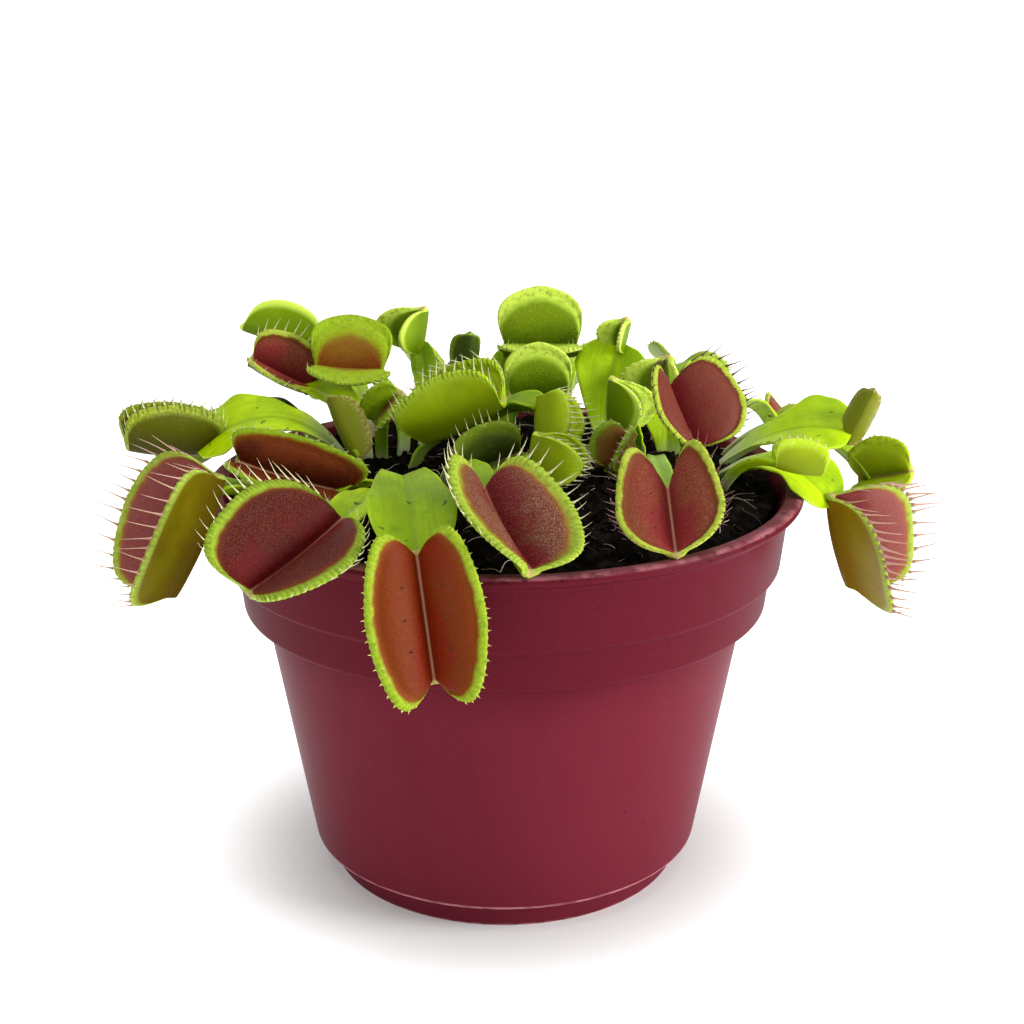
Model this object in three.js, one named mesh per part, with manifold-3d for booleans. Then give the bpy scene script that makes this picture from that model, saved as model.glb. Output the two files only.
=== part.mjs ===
// A potted Venus flytrap: several rosettes of winged leaf stalks, each ending in a two-lobed
// snap trap fringed with teeth, growing in dark peat in a low round plastic pot.
// Millimetres, +Z up, origin at the middle of the pot's underside.

import * as THREE from "three";
import { mergeVertices } from "three/addons/utils/BufferGeometryUtils.js";
import Module from "manifold-3d";

const wasm = await Module();
wasm.setup();

// Pot, as heights and radii of its wall
const POT_HEIGHT = 82;
const LIP_RADIUS = 60.6;
const POT_SIDES = 32;
const WALL = 1.4;
const LIP_DEPTH = 3.4;
const FOOT_HEIGHT = 5.2;
const FOOT_RADIUS = 36.4;
const BODY_FOOT_RADIUS = 40.4;
const BODY_TOP_RADIUS = 49.4;
const BODY_TOP = 57;
const BAND_TOP = 65.6;
const BAND_RADIUS = 54.4;
const COLLAR_RADIUS = 57.6;
const LIP_INNER_RADIUS = 55.2;
const FOOT_INNER_RADIUS = 35.2;
const FLOOR_TOP = 4;
const FLOOR_DISHING = 1.5;
const PAD_RADIUS = 12;
const RING_RADIUS = 30;
const DRAIN_HOLES = 6;
const DRAIN_RADIUS = 3;
const DRAIN_CIRCLE = 22;
const DRAIN_SIDES = 8;

// Peat, filling the pot up to a low uneven mound
const GAP = 0.3;
const SOIL_EDGE = 80.4;
const SOIL_MOUND = 3.2;
const SOIL_RINGS = [1, 0.68, 0.34];
const SOIL_ROUGHNESS = 0.9;

// Leaf stalks with their wings: thickness at the edge and at the rib, and where sections are set
const ROOT_DEPTH = 6;
const BLADE_EDGE = 0.7;
const BLADE_RIB = 1.7;
const STALK_WIDTH = 2.6;
const LONG_STATIONS = [0, 0.16, 0.36, 0.56, 0.74, 0.87, 0.95, 1];
const SHORT_STATIONS = [0, 0.3, 0.58, 0.8, 0.94, 1];
const BROAD_BLADE = 8.5;
const WIDEST_AT = 0.78;
const STALK_REACH = 1.8;

// Traps: sheet thickness, the midrib's bow, and the teeth
const LOBE_THICKNESS = 0.8;
const MIDRIB_THICKNESS = 1.7;
const MIDRIB_ARCH = 20;
const TOOTH_WIDTH = 1;
const END_TOOTH = 0.55;

// How far the lobes stand up at the midrib and at the margin, in degrees
const OPEN = [50, 15];
const AJAR = [60, 34];
const HALF = [60, 62];
const SHUT = [42, 116];
const BUD = [20, 80];

// Rows of points between midrib and margin, as shares of the lobe's width
const FINE = [0.5, 0.82];
const PLAIN = [0.6];

// What a leaf has unless its own line says otherwise: shoulders is how far the lobes reach past
// the midrib at the joint and at the tip, tooth is a share of the lobe's width, lean is how much
// the teeth bend inwards, fold and twist are the blade's, in degrees
const USUAL = {
  shoulders: [0.7, 0.6], teeth: 7, rings: PLAIN, tooth: 0.42, lean: 0.5, fold: 18, twist: 0,
};
const FRONT = { teeth: 9, rings: FINE };

const COLOURS = {
  pot: { color: 0x7d2b3a, roughness: 0.5, metalness: 0 },
  soil: { color: 0x1d1714, roughness: 1, metalness: 0 },
  leaf: { color: 0x8db52a, roughness: 0.5, metalness: 0 },
};

const vec = (x, y, z) => new THREE.Vector3(x, y, z);
const radians = THREE.MathUtils.degToRad;
const mix = THREE.MathUtils.lerp;

// A closed solid from points and triangles, turned so that its faces point out
function solidOf(points, triangles) {
  const vertProperties = new Float32Array(points.flatMap((p) => [p.x, p.y, p.z]));
  const volume = triangles.reduce(
    (sum, [a, b, c]) => sum + points[a].dot(vec(0, 0, 0).crossVectors(points[b], points[c])), 0);
  const triVerts = new Uint32Array(
    triangles.flatMap(([a, b, c]) => (volume < 0 ? [a, c, b] : [a, b, c])));
  return new wasm.Manifold(new wasm.Mesh({ numProp: 3, vertProperties, triVerts }));
}

function solidOfGeometry(geometry) {
  const bare = new THREE.BufferGeometry();
  bare.setAttribute("position", geometry.getAttribute("position"));
  bare.setIndex(geometry.getIndex());
  const merged = mergeVertices(bare, 1e-3);
  return new wasm.Manifold(new wasm.Mesh({
    numProp: 3,
    vertProperties: new Float32Array(merged.attributes.position.array),
    triVerts: new Uint32Array(merged.index.array),
  }));
}

function meshOf(name, solid, look) {
  const made = solid.getMesh();
  const geometry = new THREE.BufferGeometry();
  geometry.setAttribute("position", new THREE.BufferAttribute(new Float32Array(made.vertProperties), 3));
  geometry.setIndex(new THREE.BufferAttribute(new Uint32Array(made.triVerts), 1));
  geometry.computeVertexNormals();
  const mesh = new THREE.Mesh(geometry, new THREE.MeshStandardMaterial(look));
  mesh.name = name;
  return mesh;
}

// A solid turned round the Z axis from a closed outline of [radius, height] points
function turned(outline, sides) {
  const profile = outline.map(([radius, height]) => new THREE.Vector2(radius, height));
  const lathe = new THREE.LatheGeometry(profile, sides);
  lathe.rotateX(Math.PI / 2);
  return solidOfGeometry(lathe);
}

// The pot's inner wall, from the floor up, as [radius, height]
function innerWall() {
  return [
    [FOOT_INNER_RADIUS, FLOOR_TOP],
    [FOOT_INNER_RADIUS + 0.6, FOOT_HEIGHT + 0.9],
    [BODY_FOOT_RADIUS - WALL, FOOT_HEIGHT + 1.9],
    [BODY_TOP_RADIUS - WALL, BODY_TOP + 0.4],
    [BAND_RADIUS - 1 - WALL, BODY_TOP + 2.2],
    [BAND_RADIUS - WALL, BAND_TOP],
    [LIP_INNER_RADIUS, POT_HEIGHT - LIP_DEPTH],
  ];
}

function makePot() {
  const outer = [
    [0, 0],
    [PAD_RADIUS, 0],
    [PAD_RADIUS + 1, FLOOR_DISHING],
    [RING_RADIUS, FLOOR_DISHING],
    [RING_RADIUS + 1, 0],
    [FOOT_RADIUS, 0],
    [FOOT_RADIUS + 1, FOOT_HEIGHT],
    [BODY_FOOT_RADIUS, FOOT_HEIGHT + 0.7],
    [BODY_TOP_RADIUS, BODY_TOP],
    [BAND_RADIUS - 0.9, BODY_TOP + 0.6],
    [BAND_RADIUS, BAND_TOP],
    [COLLAR_RADIUS - 1.4, BAND_TOP + 0.5],
    [COLLAR_RADIUS, POT_HEIGHT - 3.2],
    [LIP_RADIUS, POT_HEIGHT - 1.6],
    [LIP_RADIUS - 0.7, POT_HEIGHT],
    [LIP_INNER_RADIUS + 1.6, POT_HEIGHT - 0.4],
  ];
  const inner = innerWall().reverse();
  const shell = turned([...outer, ...inner, [0, FLOOR_TOP]], POT_SIDES);
  const drains = Array.from({ length: DRAIN_HOLES }, (_, i) => {
    const angle = ((i + 0.5) / DRAIN_HOLES) * 2 * Math.PI;
    const drill = new THREE.CylinderGeometry(DRAIN_RADIUS, DRAIN_RADIUS, 3 * FLOOR_TOP, DRAIN_SIDES);
    drill.rotateX(Math.PI / 2);
    drill.translate(DRAIN_CIRCLE * Math.cos(angle), DRAIN_CIRCLE * Math.sin(angle), FLOOR_TOP / 2);
    return solidOfGeometry(drill);
  });
  return drains.reduce((pot, drain) => pot.subtract(drain), shell);
}

// Small repeatable unevenness, from -1 to 1, at a place on the peat
function unevenness(x, y) {
  return (Math.sin(0.23 * x + 1.3) * Math.cos(0.19 * y - 0.7) + Math.sin(0.41 * x - 0.33 * y + 2.1)) / 2;
}

// Height of the peat at a place
function soilHeight(x, y) {
  const share = Math.min(1, Math.hypot(x, y) / LIP_INNER_RADIUS);
  return SOIL_EDGE + SOIL_MOUND * (1 - share * share) + SOIL_ROUGHNESS * unevenness(x, y);
}

function makeSoil() {
  const points = [];
  const triangles = [];
  const wall = innerWall().slice(0, -1).map(([radius, height]) => [radius - GAP - 0.1, height + GAP]);
  const rimRadius = LIP_INNER_RADIUS - 2 * GAP - 0.1;
  const angleOf = (i) => (i / POT_SIDES) * 2 * Math.PI;
  const ring = (radius, heightAt) => {
    for (let i = 0; i < POT_SIDES; i += 1) {
      const x = radius * Math.cos(angleOf(i));
      const y = radius * Math.sin(angleOf(i));
      points.push(vec(x, y, heightAt(x, y)));
    }
  };
  points.push(vec(0, 0, wall[0][1]));
  wall.forEach(([radius, height]) => ring(radius, () => height));
  SOIL_RINGS.forEach((share) => ring(share * rimRadius, soilHeight));
  points.push(vec(0, 0, soilHeight(0, 0)));
  const rings = wall.length + SOIL_RINGS.length;
  const at = (r, i) => 1 + r * POT_SIDES + (i % POT_SIDES);
  for (let i = 0; i < POT_SIDES; i += 1) {
    triangles.push([0, at(0, i + 1), at(0, i)]);
    for (let r = 0; r + 1 < rings; r += 1) {
      triangles.push([at(r, i), at(r, i + 1), at(r + 1, i + 1)]);
      triangles.push([at(r, i), at(r + 1, i + 1), at(r + 1, i)]);
    }
    triangles.push([at(rings - 1, i), at(rings - 1, i + 1), points.length - 1]);
  }
  return solidOf(points, triangles);
}

// Where the leaf stalk runs: out of the peat, bent towards its pull point, to the trap's joint
function stalkPath(leaf) {
  const [rootX, rootY] = leaf.root;
  const { x, z } = trapFrame(leaf);
  const end = vec(...leaf.joint).addScaledVector(x, STALK_REACH).addScaledVector(z, -MIDRIB_THICKNESS / 2);
  const start = vec(rootX, rootY, soilHeight(rootX, rootY) - ROOT_DEPTH);
  return new THREE.QuadraticBezierCurve3(start, vec(...leaf.pull), end);
}

// Share of the blade's full width at a share of its length
function bladeShape(share) {
  if (share < WIDEST_AT) {
    return Math.pow(share / WIDEST_AT, 1.6);
  }
  const past = (share - WIDEST_AT) / (1 - WIDEST_AT);
  return Math.sqrt(Math.max(0, 1 - past * past));
}

// The winged stalk, six points round at each station; spare widens it all round
function makeStalk(leaf, spare = 0) {
  const path = stalkPath(leaf);
  const fold = radians(leaf.fold);
  const flat = vec(path.v2.x - path.v0.x, path.v2.y - path.v0.y, 0).normalize();
  const level = vec(-flat.y, flat.x, 0);
  const points = [];
  const triangles = [];
  const stations = leaf.blade > BROAD_BLADE ? LONG_STATIONS : SHORT_STATIONS;
  stations.forEach((share) => {
    const centre = path.getPoint(share);
    const tangent = path.getTangent(share);
    const across = level.clone().addScaledVector(tangent, -level.dot(tangent)).normalize();
    across.applyAxisAngle(tangent, radians(leaf.twist) * share);
    const up = vec(0, 0, 0).crossVectors(tangent, across);
    const half = mix(STALK_WIDTH, leaf.blade, bladeShape(share)) / 2 + spare;
    const edge = BLADE_EDGE / 2 + spare;
    const rib = BLADE_RIB / 2 + spare;
    const place = (side, rise) => centre.clone()
      .addScaledVector(across, side * half * Math.cos(fold))
      .addScaledVector(up, Math.abs(side) * half * Math.sin(fold) + rise);
    points.push(place(1, edge), place(0, edge), place(-1, edge));
    points.push(place(-1, -edge), place(0, edge - 2 * rib), place(1, -edge));
  });
  const ringSize = 6;
  const last = stations.length - 1;
  for (let s = 0; s < last; s += 1) {
    for (let k = 0; k < ringSize; k += 1) {
      const [a, b] = [s * ringSize + k, s * ringSize + ((k + 1) % ringSize)];
      triangles.push([a, b, b + ringSize], [a, b + ringSize, a + ringSize]);
    }
  }
  const cap = (base, turn) => [[0, 5, 1], [1, 5, 4], [1, 4, 2], [2, 4, 3]].forEach(([a, b, c]) =>
    triangles.push(turn ? [base + a, base + c, base + b] : [base + a, base + b, base + c]));
  cap(0, false);
  cap(last * ringSize, true);
  return solidOf(points, triangles);
}

// The trap's own axes: x from its joint to its tip, z out of its open mouth, y across
function trapFrame(leaf) {
  const x = vec(...leaf.midrib).normalize();
  const mouth = vec(...leaf.mouth);
  const z = mouth.addScaledVector(x, -mouth.dot(x)).normalize();
  const y = vec(0, 0, 0).crossVectors(z, x);
  return { x, y, z, length: vec(...leaf.midrib).length() };
}

// How far out and up a lobe has come at a distance from the midrib, and how steep it is there
function lobeSection(leaf, distance) {
  const [start, end] = leaf.gape;
  const steepness = (away) => radians(start + ((end - start) * away) / leaf.lobe);
  const steps = 6;
  let [out, rise] = [0, 0];
  for (let k = 0; k < steps; k += 1) {
    const angle = steepness((distance * (k + 0.5)) / steps);
    out += (Math.cos(angle) * distance) / steps;
    rise += (Math.sin(angle) * distance) / steps;
  }
  return { out, rise, steep: steepness(distance) };
}

// The midrib's own bow, of the given length from end to end, at a share of that length
function midribBow(length, share) {
  const arch = radians(MIDRIB_ARCH);
  const slope = arch * (share - 0.5);
  const radius = length / (2 * Math.sin(arch / 2));
  return {
    along: radius * (Math.sin(slope) + Math.sin(arch / 2)),
    sag: radius * (Math.cos(arch / 2) - Math.cos(slope)),
    slope,
  };
}

// A point of a lobe's inner face and the way out of its back: turn runs from 0 at the joint to pi
// at the tip along the margin, share from 0 on the midrib to 1 on the margin; side is 1 or -1
function lobePoint(leaf, side, turn, share) {
  const { x, y, z, length } = trapFrame(leaf);
  const shoulder = leaf.shoulders[turn < Math.PI / 2 ? 0 : 1];
  const reach = 1 + shoulder * Math.abs(Math.sin(2 * turn)) ** 0.8;
  const onMidrib = (1 - Math.cos(turn)) / 2;
  const onMargin = (1 - Math.cos(turn) * reach) / 2;
  const { out, rise, steep } = lobeSection(leaf, leaf.lobe * Math.sin(turn) ** 0.75 * share);
  const { along, sag, slope } = midribBow(length, mix(onMidrib, onMargin, share));
  const place = vec(...leaf.joint)
    .addScaledVector(x, along - rise * Math.sin(slope))
    .addScaledVector(y, side * out)
    .addScaledVector(z, sag + rise * Math.cos(slope));
  const back = vec(0, 0, 0)
    .addScaledVector(x, Math.cos(steep) * Math.sin(slope))
    .addScaledVector(y, side * Math.sin(steep))
    .addScaledVector(z, -Math.cos(steep) * Math.cos(slope));
  return { place, back };
}

// A tooth's point, bent in from the margin
function toothTip(leaf, side, turn) {
  const { place, back } = lobePoint(leaf, side, turn, 1);
  const aim = place.clone().sub(lobePoint(leaf, side, turn, 0.9).place).normalize();
  aim.addScaledVector(back, -leaf.lean).normalize();
  const size = leaf.lobe * leaf.tooth * mix(END_TOOTH, 1, Math.sin(turn));
  return place.addScaledVector(back, LOBE_THICKNESS / 2).addScaledVector(aim, size);
}

// Both lobes as one thin folded sheet, with a tooth raised from each stretch of the margin
function makeTrap(leaf) {
  const { z, length } = trapFrame(leaf);
  const points = [];
  const triangles = [];
  const addPair = (side, turn, share) => {
    const { place, back } = lobePoint(leaf, side, turn, share);
    const rear = share === 0
      ? place.clone().addScaledVector(z, -MIDRIB_THICKNESS)
      : place.clone().addScaledVector(back, LOBE_THICKNESS);
    points.push(place, rear);
    return points.length - 2;
  };
  const teeth = leaf.teeth;
  const turns = Array.from({ length: teeth }, (_, i) => ((i + 0.7) / (teeth + 0.4)) * Math.PI);
  const joint = addPair(1, 0, 0);
  const tip = addPair(1, Math.PI, 0);
  const spine = turns.map((turn) => addPair(1, turn, 0));
  const face = (a, b, c) => {
    triangles.push([a, b, c], [a + 1, c + 1, b + 1]);
  };
  [1, -1].forEach((side) => {
    const tri = (a, b, c) => (side > 0 ? face(a, b, c) : face(a, c, b));
    const edge = (a, b) => {
      const [p, q] = side > 0 ? [a, b] : [b, a];
      triangles.push([p, q, q + 1], [p, q + 1, p + 1]);
    };
    let inner = spine;
    leaf.rings.forEach((share) => {
      const outer = turns.map((turn) => addPair(side, turn, share));
      tri(joint, inner[0], outer[0]);
      for (let i = 0; i + 1 < teeth; i += 1) {
        tri(inner[i], inner[i + 1], outer[i + 1]);
        tri(inner[i], outer[i + 1], outer[i]);
      }
      tri(tip, outer[teeth - 1], inner[teeth - 1]);
      inner = outer;
    });
    const halfTurn = (0.5 * TOOTH_WIDTH * Math.PI) / (length + 2 * leaf.lobe);
    const places = turns.map((turn) => turn + (side * (turns[1] - turns[0]) * Math.sin(turn)) / 4);
    const near = places.map((turn) => addPair(side, turn - halfTurn, 1));
    const far = places.map((turn) => addPair(side, turn + halfTurn, 1));
    tri(joint, inner[0], near[0]);
    edge(joint, near[0]);
    places.forEach((turn, i) => {
      tri(inner[i], far[i], near[i]);
      points.push(toothTip(leaf, side, turn));
      const apex = points.length - 1;
      const base = [near[i], near[i] + 1, far[i] + 1, far[i]];
      base.forEach((corner, k) => {
        const next = base[(k + 1) % 4];
        triangles.push(side > 0 ? [next, corner, apex] : [corner, next, apex]);
      });
      if (i + 1 < teeth) {
        tri(inner[i], inner[i + 1], near[i + 1]);
        tri(inner[i], near[i + 1], far[i]);
        edge(far[i], near[i + 1]);
      }
    });
    tri(tip, far[teeth - 1], inner[teeth - 1]);
    edge(far[teeth - 1], tip);
  });
  return solidOf(points, triangles);
}

// Each leaf: its root on the peat, the point that pulls its stalk into a bow, the joint of stalk
// and trap, the midrib from that joint to its tip, the way the mouth faces, the lobes' width, how
// far they gape, and the width of the stalk's blade
const LEAVES = [
  // Front, over and inside the rim
  { name: "leaf_front_hanging", root: [-21, -7], pull: [-19, -34, 103], joint: [-15, -60, 86],
    midrib: [2.9, -6, -20.2], mouth: [0.06, -0.95, 0.3], lobe: 11.4, gape: OPEN, blade: 17, ...FRONT,
    shoulders: [0.8, 0.75], tooth: 0.13 },
  { name: "leaf_front_middle", root: [-14, -6], pull: [-8, -22, 99], joint: [-3.7, -42, 92.6],
    midrib: [8, -18, -9], mouth: [0.36, -0.39, 0.84], lobe: 12.8, gape: OPEN, blade: 6, ...FRONT,
    shoulders: [0.6, 0.5], tooth: 0.3 },
  { name: "leaf_front_left", root: [-25, -7], pull: [-20.5, -33, 94], joint: [-28.6, -48.5, 89],
    midrib: [-14.5, -13.3, -8.6], mouth: [-0.05, -0.5, 0.86], lobe: 15, gape: OPEN, blade: 9, ...FRONT,
    shoulders: [0.05, 0.6], tooth: 0.36 },
  { name: "leaf_left_behind", root: [-28, -3], pull: [-25, -12, 88], joint: [-31.5, -18, 84.5],
    midrib: [-19, -2, 6.5], mouth: [0.3, -0.7, 0.65], lobe: 8.5, gape: AJAR, blade: 6, ...FRONT,
    tooth: 0.34, lean: 1.8 },
  { name: "leaf_left_hanging", root: [-30, 0], pull: [-46, -13, 84], joint: [-54, -27, 90],
    midrib: [-9.5, -3, -21.5], mouth: [-0.85, -0.35, 0.35], lobe: 17, gape: AJAR, blade: 9, ...FRONT,
    shoulders: [0.4, 0.6] },
  { name: "leaf_far_left", root: [-28, 4], pull: [-42, 3, 104], joint: [-61, 4, 87.5],
    midrib: [-14, -6.5, 2.5], mouth: [0.17, 0.13, 0.98], lobe: 9.5, gape: SHUT, blade: 18, teeth: 8,
    twist: -25, fold: 8 },
  { name: "leaf_front_right", root: [31, 0], pull: [27, -22, 101], joint: [29.4, -41, 92],
    midrib: [0.8, -9.6, -8.6], mouth: [-0.14, -0.67, 0.73], lobe: 10.7, gape: OPEN, blade: 4, ...FRONT,
    shoulders: [1.7, 0.3], tooth: 0.3 },
  { name: "leaf_right_centre", root: [35, 6], pull: [40, -3, 88], joint: [36.6, -16, 92.8],
    midrib: [-4.8, 5.5, 10.4], mouth: [0.6, -0.62, 0.5], lobe: 14, gape: OPEN, blade: 5, ...FRONT,
    shoulders: [0.5, 1.1], tooth: 0.36 },
  { name: "leaf_right_hanging", root: [38, 6], pull: [54, -4, 94], joint: [65.5, -10, 80.8],
    midrib: [5, 2, -18.4], mouth: [0.9, -0.42, 0.17], lobe: 17, gape: AJAR, blade: 17, ...FRONT,
    shoulders: [0.15, 0.9], twist: 14, fold: 14 },

  // Middle of the pot
  { name: "leaf_centre_shut", root: [-20, 4], pull: [-19, 4, 87], joint: [-15.5, 2, 90],
    midrib: [14.5, -6, 9], mouth: [-0.51, 0.05, 0.85], lobe: 12, gape: SHUT, blade: 4, teeth: 8,
    tooth: 0.34 },
  { name: "leaf_centre_nodding", root: [-14, 2], pull: [-3, 9, 99], joint: [8, -1, 98.5],
    midrib: [0, -4, -8.5], mouth: [0.95, -0.3, 0.1], lobe: 8.5, gape: HALF, blade: 10 },
  { name: "leaf_centre_round", root: [6, -6], pull: [6, -8, 85], joint: [6.5, -15, 86.5],
    midrib: [0.5, 0.5, 8], mouth: [0.95, -0.3, 0.2], lobe: 10.5, gape: SHUT, blade: 3, tooth: 0.3 },
  { name: "leaf_centre_dark", root: [-11, -2], pull: [-10, -10, 88], joint: [-7, -12.5, 87],
    midrib: [10, 2, 3], mouth: [0, -0.6, 0.8], lobe: 8, gape: AJAR, blade: 4 },
  { name: "leaf_centre_low", root: [21, 3], pull: [21, -2, 84], joint: [21.5, -4.5, 85.5],
    midrib: [3.5, 3, 6], mouth: [-0.5, -0.5, 0.4], lobe: 6.5, gape: HALF, blade: 3, teeth: 5 },
  { name: "leaf_centre_arched", root: [1, 11], pull: [-3, 14, 92], joint: [1.5, 16, 95],
    midrib: [11.5, 0, 0], mouth: [0, -0.7, 0.7], lobe: 11.5, gape: AJAR, blade: 7, tooth: 0.12,
    lean: 1.4 },
  { name: "leaf_centre_high", root: [2, 20], pull: [-4, 28, 92], joint: [0.5, 34, 101],
    midrib: [15, 0, 0], mouth: [0, -0.55, 0.83], lobe: 14, gape: AJAR, blade: 8, teeth: 8,
    tooth: 0.2, lean: 1.6 },
  { name: "leaf_bud_dark", root: [-6, 14], pull: [-7, 18, 92], joint: [-8.5, 24, 99],
    midrib: [1, 0, 7.4], mouth: [-0.2, 0.9, 0], lobe: 4, gape: BUD, blade: 3, teeth: 5,
    shoulders: [0.1, 0], tooth: 0.1 },

  // Left behind
  { name: "leaf_bud_left", root: [-26, -1], pull: [-28, -2, 84], joint: [-29.3, -1.6, 87],
    midrib: [-5, 3, 11.3], mouth: [0.5, 0.8, 0], lobe: 4.4, gape: BUD, blade: 3, teeth: 5,
    shoulders: [0.1, 0], tooth: 0.12 },
  { name: "leaf_left_low", root: [-25, 8], pull: [-26, 8, 90], joint: [-26.4, 8.6, 91.6],
    midrib: [4.6, 0.5, 5.6], mouth: [-0.3, -0.8, 0.3], lobe: 6, gape: HALF, blade: 3 },
  { name: "leaf_left_broad", root: [-28, 9], pull: [-30, 13, 97], joint: [-42, 22, 95.5],
    midrib: [-11, -1, 6], mouth: [0.47, -0.57, 0.67], lobe: 9, gape: AJAR, blade: 13 },
  { name: "leaf_left_ruddy", root: [-23, 12], pull: [-18, 18, 90], joint: [-26, 18.5, 99.5],
    midrib: [-13.5, -0.5, 1], mouth: [0, -0.45, 0.9], lobe: 13, gape: OPEN, blade: 4, teeth: 8,
    tooth: 0.2, lean: 1 },
  { name: "leaf_left_pale", root: [-18, 16], pull: [-15, 24, 92], joint: [-19.5, 32, 101],
    midrib: [1.5, 0, 9], mouth: [-0.75, -0.5, 0.3], lobe: 9.4, gape: HALF, blade: 6,
    shoulders: [0.2, 0.2], tooth: 0.1 },
  { name: "leaf_left_high", root: [-30, 18], pull: [-34, 28, 96], joint: [-41, 36, 102.5],
    midrib: [-15.5, -1, 4], mouth: [0.1, 0.6, 0.8], lobe: 7.4, gape: HALF, blade: 8,
    shoulders: [0.1, 0], tooth: 0.12 },

  // Right behind
  { name: "leaf_right_fan", root: [24, 18.5], pull: [19.4, 21.5, 91], joint: [24, 27.5, 102],
    midrib: [1.5, 1, 6.5], mouth: [-0.6, -0.6, 0.3], lobe: 5, gape: HALF, blade: 17, teeth: 5,
    shoulders: [0.1, 0], tooth: 0.1 },
  { name: "leaf_right_young", root: [28, 10], pull: [29, 10, 89], joint: [23, 8, 90],
    midrib: [0, 1, 10], mouth: [0.9, -0.4, 0], lobe: 9, gape: HALF, blade: 12, teeth: 5,
    shoulders: [0.3, 0], tooth: 0.1 },
  { name: "leaf_right_upright", root: [34, 17], pull: [36, 20, 86], joint: [33.5, 21, 92],
    midrib: [1, 1, 9.5], mouth: [-0.5, -0.7, 0.3], lobe: 9, gape: AJAR, blade: 13, teeth: 6,
    shoulders: [0.2, 0.1], tooth: 0.1 },
  { name: "leaf_right_bud", root: [41, 14], pull: [56, 10, 93.5], joint: [71, 8, 87.5],
    midrib: [4.6, 0, 10.4], mouth: [0.3, 0.9, 0.2], lobe: 3.5, gape: BUD, blade: 19, teeth: 5,
    shoulders: [0.1, 0], tooth: 0.1, twist: 26, fold: 12 },
  { name: "leaf_right_lying", root: [42, -4], pull: [45, -15, 94], joint: [53, -17, 90.5],
    midrib: [8, 0, -1.5], mouth: [0, 0.2, 0.95], lobe: 5.5, gape: SHUT, blade: 3, tooth: 0.2 },
  { name: "leaf_right_edge", root: [43, 21], pull: [60, 22, 99], joint: [75, 11, 78],
    midrib: [9, -4, 3], mouth: [-0.3, -0.75, 0.55], lobe: 9, gape: AJAR, blade: 7, tooth: 0.15 },

  // Back, leaning out over the rim
  { name: "leaf_back_right_low", root: [40, 25], pull: [51, 35, 99], joint: [60, 42, 83],
    midrib: [7, 5, -9], mouth: [0.7, 0.4, 0.5], lobe: 10, gape: AJAR, blade: 7, teeth: 6 },
  { name: "leaf_back_right", root: [32, 26], pull: [38, 40, 103], joint: [40, 55, 92],
    midrib: [4, 10, -7], mouth: [0.3, 0.5, 0.7], lobe: 11, gape: OPEN, blade: 8, teeth: 6 },
  { name: "leaf_back_middle", root: [12, 26], pull: [14, 44, 104], joint: [14, 58, 92],
    midrib: [1, 11, -8], mouth: [0, 0.6, 0.7], lobe: 11, gape: OPEN, blade: 9, teeth: 6 },
  { name: "leaf_back_left", root: [-8, 26], pull: [-12, 40, 102], joint: [-13, 55, 92],
    midrib: [-3, 11, -6], mouth: [-0.1, 0.4, 0.8], lobe: 11, gape: AJAR, blade: 8, teeth: 6 },
  { name: "leaf_back_left_wide", root: [-26, 24], pull: [-34, 38, 102], joint: [-38, 50, 91],
    midrib: [-6, 9, -6], mouth: [-0.3, 0.5, 0.8], lobe: 10, gape: OPEN, blade: 8, teeth: 6 },
  { name: "leaf_back_left_low", root: [-36, 14], pull: [-47, 20, 104], joint: [-60, 26, 84],
    midrib: [-9, 4, -7], mouth: [-0.6, 0.3, 0.7], lobe: 9, gape: HALF, blade: 8, teeth: 6 },
];

const leaves = LEAVES.map((row) => ({ ...USUAL, ...row }));
const holes = leaves.map((leaf) => makeStalk(leaf, GAP + 0.05));

const group = new THREE.Group();
group.add(meshOf("pot", makePot(), COLOURS.pot));
group.add(meshOf("soil", holes.reduce((soil, hole) => soil.subtract(hole), makeSoil()), COLOURS.soil));
leaves.forEach((leaf) => group.add(meshOf(leaf.name, makeTrap(leaf).add(makeStalk(leaf)), COLOURS.leaf)));

export default group;
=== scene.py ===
"""A potted Venus flytrap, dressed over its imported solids.

Sizes are in millimetres, as they would be measured on the plant, and turn into metres when a mesh
is made. Colours are written as they look, and turn into linear light when a finish is mixed.
"""

import logging
import math
from dataclasses import dataclass, field
from enum import Enum
from functools import cache

import bpy
import numpy as np
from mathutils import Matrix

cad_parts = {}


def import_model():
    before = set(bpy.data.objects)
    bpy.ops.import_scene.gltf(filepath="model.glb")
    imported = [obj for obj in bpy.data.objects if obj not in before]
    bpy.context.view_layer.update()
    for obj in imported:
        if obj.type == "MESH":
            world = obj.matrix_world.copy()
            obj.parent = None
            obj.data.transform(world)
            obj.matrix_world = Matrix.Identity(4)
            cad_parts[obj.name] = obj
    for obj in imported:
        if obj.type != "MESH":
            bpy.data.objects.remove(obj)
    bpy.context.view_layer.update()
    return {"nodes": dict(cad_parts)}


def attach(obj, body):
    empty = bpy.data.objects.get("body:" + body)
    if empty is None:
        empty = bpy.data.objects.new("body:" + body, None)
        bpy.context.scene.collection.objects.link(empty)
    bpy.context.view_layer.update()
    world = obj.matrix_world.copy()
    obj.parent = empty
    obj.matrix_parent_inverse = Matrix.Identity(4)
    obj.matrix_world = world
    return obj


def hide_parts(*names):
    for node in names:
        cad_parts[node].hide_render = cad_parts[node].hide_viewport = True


log = logging.getLogger("flytrap")

MM = 0.001
BODY = "root"

Triple = tuple[float, float, float]
Socket = bpy.types.NodeSocket

# Pot: heights and radii of its wall
POT_HEIGHT = 82.0
LIP_RADIUS = 60.6
LIP_INNER_RADIUS = 55.2
BAND_TOP = 65.6

# Peat
SOIL_EDGE = 80.4
SOIL_MOUND = 3.2
SOIL_ROUGHNESS = 0.9

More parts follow.
